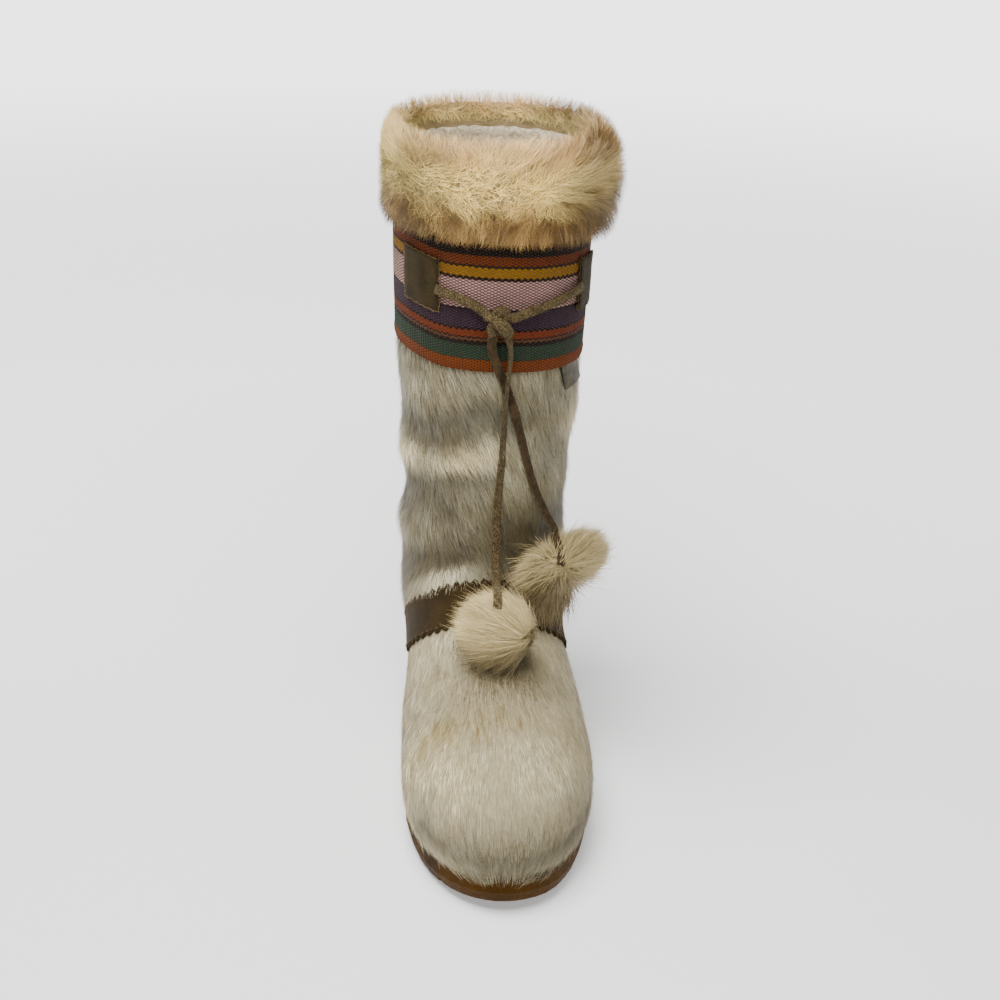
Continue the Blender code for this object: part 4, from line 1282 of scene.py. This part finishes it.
def slab(name, face, out, thick, material):
    # a thin sheet: face is rows x columns of points on the cloth below, out its outward directions
    rows, columns = face.shape[:2]
    top = face + out * thick
    edge = np.ones((rows, columns), bool)
    edge[1:-1, 1:-1] = False
    top = top - out * np.where(edge, 0.35, 0)[..., None] * thick  # a worn, lower edge
    rim = [(r, 0) for r in range(rows)] + [(rows - 1, c) for c in range(1, columns)]
    rim += [(r, columns - 1) for r in range(rows - 2, -1, -1)] + [(0, c) for c in range(columns - 2, 0, -1)]
    verts = [top.reshape(-1, 3), np.array([face[r, c] + out[r, c] * 0.1 * mm for r, c in rim])]
    loops = []
    for r in range(rows - 1):
        for c in range(columns - 1):
            corner = r * columns + c
            loops += [corner, corner + 1, corner + columns + 1, corner + columns]
    base = rows * columns
    for k, (r, c) in enumerate(rim):
        n = (k + 1) % len(rim)
        loops += [r * columns + c, rim[n][0] * columns + rim[n][1], base + n, base + k]
    mesh = meshFrom(name, np.concatenate(verts), loops, np.arange(len(loops) // 4) * 4)
    work = bmesh.new()
    work.from_mesh(mesh)
    bmesh.ops.recalc_face_normals(work, faces=work.faces)
    work.to_mesh(mesh)
    work.free()
    return addPiece(name, mesh, material), top, [top[r, c] for r, c in rim]


def edgeFuzz(name, rim, outward, count, seed, tint, length=0.9):
    # short fibres round a sheet's cut edge
    dice = rollDice(seed)
    rim = np.array(rim)
    middle = rim.mean(0)
    pick = dice.integers(0, len(rim), count)
    step = dice.random(count)[:, None]
    root = rim[pick] * (1 - step) + rim[(pick + 1) % len(rim)] * step
    away = unit(rim[pick] - middle)
    aim = unit(away + outward[pick] * 0.4 + dice.normal(0, 0.5, (count, 3)))
    reach = dice.uniform(0.3, 1.1, count) * length * mm
    tip = root + aim * reach[:, None] - [0, 0, 0.15 * mm]
    spine = np.stack([root, root + aim * (reach * 0.5)[:, None], tip], 1)
    colour = np.repeat((tint[None] * dice.uniform(0.7, 1.4, count)[:, None])[:, None], 3, axis=1)
    facing = unit(dice.normal(0, 1, (count, 3)) + np.array([0, -1, 0.4]))
    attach(strandPiece(name, spine, facing, np.full(count, 0.2 * mm), colour, fuzzHair), "root")


def stitchRun(name, line, normals, pitch, long, material, seed, skew=0.0):
    # short thread stitches along a line of points, sunk a little at both ends
    dice = rollDice(seed)
    thick = sewing["thick"]
    arc = lengthAlong(line)
    starts = np.arange(pitch / 2, arc[-1] - long, pitch)
    rings, around = 5, 6
    verts, loops = [], []
    for k, begin in enumerate(starts):
        at = begin + np.linspace(0, long, rings) * dice.uniform(0.9, 1.05)
        spots = np.stack([np.interp(at, arc, line[:, i]) for i in range(3)], 1)
        ups = unit(np.stack([np.interp(at, arc, normals[:, i]) for i in range(3)], 1))
        along = unit(spots[-1:] - spots[:1])
        side = unit(np.cross(along, ups))
        arch = np.sin(np.linspace(0, math.pi, rings))
        spots = spots + ups * (thick * (0.9 * arch - 0.35))[:, None]
        spots = spots + side * np.linspace(-skew, skew, rings)[:, None]
        full = thick * (0.35 + 0.65 * arch ** 0.5)
        angle = np.arange(around) / around * 2 * math.pi
        ring = (spots[:, None] + side[:, None] * (np.cos(angle)[None] * full[:, None] * 0.55)[..., None]
                + ups[:, None] * (np.sin(angle)[None] * full[:, None] * 0.5)[..., None])
        base = k * rings * around
        verts.append(ring.reshape(-1, 3))
        for r in range(rings - 1):
            for c in range(around):
                here, beside = base + r * around + c, base + r * around + (c + 1) % around
                loops += [here, beside, beside + around, here + around]
    mesh = meshFrom(name, np.concatenate(verts), loops, np.arange(len(loops) // 4) * 4)
    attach(addPiece(name, mesh, material), "root")


def threadFinish(name, colour):
    material, tree, shader = newFinish(name, 0.7, 0.3)
    where = objectPlace(tree)
    twist = noise(tree, where, 2200, 2)
    setColour(tree, shader, mixShades(tree, twist, colour * 0.6, np.minimum(colour * 1.3, 1)))
    bump(tree, shader, twist, 0.1 * mm)
    return material


tabSuede = suedeFinish("tab_suede", shade(*suedeShades["light"]), shade(*suedeShades["dark"]))
darkThread = threadFinish("dark_thread", shade(*suedeShades["tabThread"]))


def makeTab(name, plan, seed):
    # a suede patch on the band, torn and stitched along the side that looks to the knot
    first, last = plan["turns"]
    turns = np.radians(np.linspace(first, last, 22))
    highs = np.linspace(plan["low"], plan["high"], 26)
    face = np.zeros((len(highs), len(turns), 3))
    rag = rollDice(seed).normal(0, 1, (2, len(highs)))
    for r, high in enumerate(highs):
        for c, turn in enumerate(turns):
            edge = 1 if (c == 0 and plan["ragged"] < 0) or (c == len(turns) - 1 and plan["ragged"] > 0) else 0
            wander = math.radians(0.45 * rag[0, r] * edge)
            lift = 0.25 * math.sin(c * 1.7 + seed) * (r in (0, len(highs) - 1))
            found = bandPoint(turn + wander, high + lift)
            face[r, c] = found if found is not None else face[r - 1, c] + np.array([0, 0, 1.1 * mm])
    out = awayFromLeg(face)
    puff = (softNoise(face, 7 * mm, seed) - 0.5) * 0.5 * mm
    face = face + out * (0.25 * mm + puff)[..., None]
    piece, top, rim = slab(name + "_suede", face, out, 1.5 * mm, tabSuede)
    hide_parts(name)
    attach(piece, "root")
    edgeFuzz(name + "_fuzz", rim, awayFromLeg(np.array(rim)), 1800, seed + 5, shade(*suedeShades["tabFuzz"]))
    column = 1 if plan["ragged"] < 0 else -2
    line = top[2:-2, column] + out[2:-2, column] * 0.15 * mm
    stitchRun(name + "_stitches", line, out[2:-2, column], sewing["tabPitch"], sewing["tabLong"], darkThread,
              seed, sewing["tabSkew"])


for number, (name, plan) in enumerate(tabPlans.items()):
    makeTab(name, plan, 200 + number)

hideSkin = BVHTree.FromPolygons(hideVerts.tolist(), hideFaces.tolist())
ribbonLabel = {"turns": (40.0, 57.0), "top": 243.5, "long": 16.0, "lift": 3.4}


def hideAt(turn, z):  # the hide's folded face at a turn round the leg and a height
    aim = Vector((math.sin(turn), -math.cos(turn), 0))
    hit = hideSkin.ray_cast(Vector((legX, legY, z)) + aim * rayStart, -aim)[0]
    return (np.array(hit), np.array(aim)) if hit else (None, None)


def labelFinish():
    material, tree, shader = newFinish("label_ribbon", 0.6, 0.35)
    where = objectPlace(tree, (1, 1, 3))
    rib = noise(tree, where, 900, 2)
    worn = noise(tree, objectPlace(tree), 180, 3)
    plain = mixShades(tree, ramp(tree, worn, 0.35, 0.7), shade(40, 36, 22), shade(86, 79, 55))
    setColour(tree, shader, mixShades(tree, ramp(tree, rib, 0.4, 0.6, 0, 0.3), plain, shade(60, 56, 46)))
    bump(tree, shader, rib, 0.15 * mm)
    return material


def makeLabel():
    # a folded ribbon, bare, that hangs out of the seam under the band
    first, last = (math.radians(t) for t in ribbonLabel["turns"])
    down = np.concatenate([np.linspace(0, 1, 12), np.linspace(1, 0, 12)])
    layer = np.concatenate([np.ones(12), np.zeros(12)])
    columns = 10
    points = np.zeros((len(down), columns, 3))
    for r, (s, front) in enumerate(zip(down, layer)):  # s runs from the seam to the fold and back
        for c in range(columns):
            across = c / (columns - 1)
            turn = first + (last - first) * across + math.radians(3.0) * s
            z = (ribbonLabel["top"] + bandRise(40, 30) - ribbonLabel["long"] * s + 3.2 * across * s) * mm
            spot, aim = hideAt(turn, z)
            out = 0.5 + ribbonLabel["lift"] * s ** 1.3 + 1.1 * front + 0.5 * math.sin(across * 3.1)
            points[r, c] = spot + aim * out * mm
    piece = gridPiece("bare_label", points, False, labelFinish())
    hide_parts("side_label")
    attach(piece, "root")


makeLabel()
print("tabs and label sewn")


# ankle strap
# the zigzag edge's teeth, the strap's thickness and how far its stitches lie inside the edges, in millimetres
ankleStrap = {"tooth": 5.4, "toothHigh": 2.7, "thick": 1.5, "inset": 3.0}
# the strap's own plane leans back: the directions down the instep and across the strap's width
strapOrigin = np.array([0.0, 45.0, 70.0])
strapDown = np.array([0.0, 0.8, -0.6])
strapAcross = np.array([0.0, 0.6, 0.8])


def strapSpot(turn, across):  # turn in radians from the front, across in millimetres over the strap's width
    aim = np.array([math.sin(turn), 0, 0]) - math.cos(turn) * strapDown
    start = (strapOrigin + strapAcross * across + aim * 170) * mm
    hit, normal, _, _ = hideSkin.ray_cast(Vector(start), Vector(-aim))
    return (np.array(hit) / mm, np.array(normal)) if hit else (None, None)


def strapEdge(turn, which):  # where across the strap its lower or upper edge lies
    across = 14.0 if which == "high" else -13.0
    for _ in range(6):
        spot, _ = strapSpot(turn, across)
        if spot is None:
            return None
        wanted = np.interp(spot[1], strapEdges["y"], strapEdges[which])
        across += (max(wanted, 26.4) - spot[2]) * 0.6  # never down into the sole
    return across


def strapSide(direction):  # from the front round one side, as far as the strap goes
    columns = []
    last = None
    for step in np.arange(0, 150, 0.5):
        turn = math.radians(step) * direction
        low, high = strapEdge(turn, "low"), strapEdge(turn, "high")
        if low is None or high is None or high - low < 3:
            break
        middle, _ = strapSpot(turn, (low + high) / 2)
        if middle is None or middle[2] < 28:
            break
        if last is not None and np.linalg.norm(middle - last) > 8:
            break
        last = middle
        columns.append((turn, low, high, middle))
    return columns


def makeStrap():
    inner, outer = strapSide(-1), strapSide(1)
    columns = inner[:0:-1] + outer
    middles = np.array([c[3] for c in columns])
    arc = lengthAlong(middles)
    count = int(arc[-1] / ankleStrap["tooth"] * 8)  # eight columns to a tooth
    at = np.linspace(0, arc[-1], count)
    turns, lows, highs = (np.interp(at, arc, [c[k] for c in columns]) for k in range(3))
    tooth = np.abs((at / ankleStrap["tooth"]) % 1 - 0.5) * 2 * ankleStrap["toothHigh"]
    shares = np.array([0, 0.06, 0.14, 0.26, 0.4, 0.5, 0.6, 0.74, 0.86, 0.94, 1])  # rows over its width
    middleRow = 5
    face = np.zeros((len(shares), count, 3))
    out = np.zeros_like(face)
    for c in range(count):
        low, high = lows[c] - 0.4 + tooth[c], highs[c] + 0.4 - tooth[c]
        for r, share in enumerate(shares):
            spot, normal = strapSpot(turns[c], low + (high - low) * share)
            if spot is None:
                spot, normal = face[r - 1, c] / mm, out[r - 1, c]
            face[r, c] = spot * mm
            out[r, c] = normal
    flat = out.copy()
    for _ in range(6):
        flat[:, 1:-1] = (flat[:, :-2] + flat[:, 1:-1] * 2 + flat[:, 2:]) / 4
    out = unit(flat)
    suede = suedeFinish("strap_suede", shade(*suedeShades["strapLight"]), shade(*suedeShades["strapDark"]))
    piece, _, rim = slab("ankle_strap_suede", face + out * 0.5 * mm, out, ankleStrap["thick"] * mm, suede)
    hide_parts("ankle_strap")
    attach(piece, "root")
    thread = threadFinish("tan_thread", shade(*suedeShades["strapThread"]))
    for which in ("low", "high"):
        line = []
        for c in range(0, count, 2):
            low, high = lows[c], highs[c]
            across = low + ankleStrap["inset"] if which == "low" else high - ankleStrap["inset"]
            spot, _ = strapSpot(turns[c], across)
            line.append(spot * mm + out[middleRow, c] * (ankleStrap["thick"] + 0.6) * mm)
        line = eased(np.array(line), 3)
        stitchRun("strap_stitches_" + which, line, out[middleRow, ::2], sewing["strapPitch"],
                  sewing["strapLong"], thread, 230)
    outward = np.repeat(out[:1, 0], len(rim), axis=0)
    edgeFuzz("strap_fuzz", rim, outward, 2600, 240, shade(*suedeShades["strapFuzz"]), 0.7)


makeStrap()
print("strap pinked and stitched")


# sole and insole
def gumFinish():
    material, tree, shader = newFinish("gum_rubber", 0.6, 0.08)
    where = objectPlace(tree)
    parts = tree.nodes.new("ShaderNodeSeparateXYZ")
    tree.links.new(where, parts.inputs[0])
    high = parts.outputs[2]
    cloud = noise(tree, where, 45, 4, 0.6)
    fine = noise(tree, where, 700, 3, 0.6)
    gum = mixShades(tree, ramp(tree, cloud, 0.3, 0.7), shade(46, 28, 1), shade(70, 44, 2))
    # a painted shadow along the sole's top edge, under the hair that hangs over it
    fringeShadow = ramp(tree, plus(tree, high, times(tree, cloud, 2 * mm)), 0.019, 0.024, 0, 0.55)
    gum = mixShades(tree, fringeShadow, gum, shade(40, 20, 6))
    dust = ramp(tree, plus(tree, high, times(tree, fine, 3 * mm)), 0.0055, 0.0015, 0, 0.6)
    gum = mixShades(tree, dust, gum, shade(92, 74, 52))
    scuff = ramp(tree, noise(tree, objectPlace(tree, (1, 1, 3)), 260, 4, 0.7), 0.62, 0.74, 0, 0.3)
    gum = mixShades(tree, scuff, gum, shade(112, 74, 24))
    setColour(tree, shader, gum)
    rough = ramp(tree, fine, 0.3, 0.7, 0.5, 0.75)
    tree.links.new(rough, shader.inputs["Roughness"])
    bump(tree, shader, plus(tree, fine, times(tree, cloud, 0.5)), 0.25 * mm)
    return material


def feltFinish():
    material, tree, shader = newFinish("insole_felt", 0.95, 0.1)
    where = objectPlace(tree)
    curl = noise(tree, where, 600, 5, 0.65, 0.8)
    setColour(tree, shader, mixShades(tree, curl, shade(120, 104, 78), shade(196, 182, 152)))
    shader.inputs["Sheen Weight"].default_value = 0.2
    bump(tree, shader, curl, 0.6 * mm)
    return material


for node, material in (("outsole", gumFinish()), ("insole", feltFinish())):
    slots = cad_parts[node].data.materials
    slots.clear()
    slots.append(material)
print("sole and insole finished")


# pile inside the collar
pileLining = {"strands": 9000, "long": 5.0, "lowZ": 250, "highZ": 349, "tone": (214, 200, 172)}


def growPile():
    dice = rollDice(81)
    count = pileLining["strands"]
    turn = dice.uniform(-math.pi, math.pi, count * 2)
    z = dice.uniform(pileLining["lowZ"], pileLining["highZ"], count * 2) * mm
    root, inward = [], []
    for t, high in zip(turn, z):
        aim = Vector((math.sin(t), -math.cos(t), 0))
        hit = upperTree.ray_cast(Vector((legX, legY, high)), aim)[0]
        if hit is not None and len(root) < count:
            root.append(hit)
            inward.append(-aim)
    root, inward = np.array(root), np.array(inward)
    aim = unit(inward + dice.normal(0, 0.6, root.shape) + np.array([0, 0, 0.2]))
    long = dice.uniform(0.5, 1.1, len(root)) * pileLining["long"] * mm
    curl = dice.normal(0, 0.7 * mm, root.shape)
    spine = np.stack([root, root + aim * (long * 0.5)[:, None] + curl, root + aim * long[:, None]], 1)
    tint = shade(*pileLining["tone"])[None] * dice.uniform(0.7, 1.1, len(root))[:, None]
    colour = tint[:, None] * np.array([0.6, 0.9, 1.05])[None, :, None]
    facing = unit(dice.normal(0, 1, root.shape) + inward)
    piece = strandPiece("collar_pile", spine, facing, np.full(len(root), 0.35 * mm), colour, cuffHair)
    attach(piece, "root")


growPile()
print("pile grown")


# floor and light
studio = {
    "floor": 0.93, "farFloor": 0.3, "nearGlow": 0.36, "farGlow": 0.55, "backGlow": 2.6, "overhead": 0.1,
    "top": 38, "collar": 3.6, "side": 0.8,
}


def addLamp(name, place, aim, size, watts):
    light = bpy.data.lights.new(name, "AREA")
    light.shape = "RECTANGLE"
    light.size, light.size_y = size
    light.energy = watts
    lamp = bpy.data.objects.new(name, light)
    bpy.context.scene.collection.objects.link(lamp)
    lamp.location = place
    lamp.rotation_euler = (Vector(aim) - Vector(place)).to_track_quat("-Z", "Y").to_euler()


def setFloor():
    # pale paper that brightens towards the back, and glows a little so that it has no edge
    bpy.ops.mesh.primitive_circle_add(vertices=64, radius=14, fill_type="NGON", location=(0, 0, 0))
    floor = bpy.context.object
    floor.name = "floor"
    material, tree, shader = newFinish("paper", 0.9, 0.1)
    where = objectPlace(tree)
    parts = tree.nodes.new("ShaderNodeSeparateXYZ")
    tree.links.new(where, parts.inputs[0])
    far = tree.nodes.new("ShaderNodeVectorMath")
    far.operation = "LENGTH"
    tree.links.new(where, far.inputs[0])
    pale = ramp(tree, far.outputs["Value"], 0.7, 1.5, studio["floor"], studio["farFloor"])
    setColour(tree, shader, pale)
    glow = ramp(tree, far.outputs["Value"], 0.7, 3.0, studio["nearGlow"], studio["farGlow"])
    behind = maths(tree, "DIVIDE", parts.outputs[1], far.outputs["Value"])
    back = ramp(tree, behind, 0.0, 0.6, 0, studio["backGlow"])
    glow = plus(tree, glow, times(tree, back, ramp(tree, far.outputs["Value"], 0.15, 2.2)))
    tree.links.new(glow, shader.inputs["Emission Strength"])
    shader.inputs["Emission Color"].default_value = (1, 1, 1, 1)
    floor.data.materials.append(material)


def setWorld():
    # brightest at the horizon and at the back, so that it meets the floor softly
    world = bpy.data.worlds.new("studio")
    bpy.context.scene.world = world
    world.use_nodes = True
    tree = world.node_tree
    place = tree.nodes.new("ShaderNodeTexCoord")
    parts = tree.nodes.new("ShaderNodeSeparateXYZ")
    tree.links.new(place.outputs["Generated"], parts.inputs[0])
    level = ramp(tree, parts.outputs[2], 0.05, 0.7, 1, 0)
    back = ramp(tree, parts.outputs[1], 0.0, 0.6, 0, studio["backGlow"])
    glow = plus(tree, times(tree, level, plus(tree, studio["farGlow"], back)), studio["overhead"])
    tree.nodes["Background"].inputs["Color"].default_value = (1, 1, 1, 1)
    tree.links.new(glow, tree.nodes["Background"].inputs["Strength"])


setFloor()
setWorld()
addLamp("topLamp", (-0.32, -0.14, 1.6), (0, 0, 0.2), (1.0, 0.8), studio["top"])
addLamp("collarLamp", (-0.10, -0.44, 0.80), (0, 0, 0.34), (0.3, 0.2), studio["collar"])
addLamp("sideLamp", (1.3, -0.6, 0.8), (0, 0, 0.2), (0.9, 0.9), studio["side"])
print("scene ready")
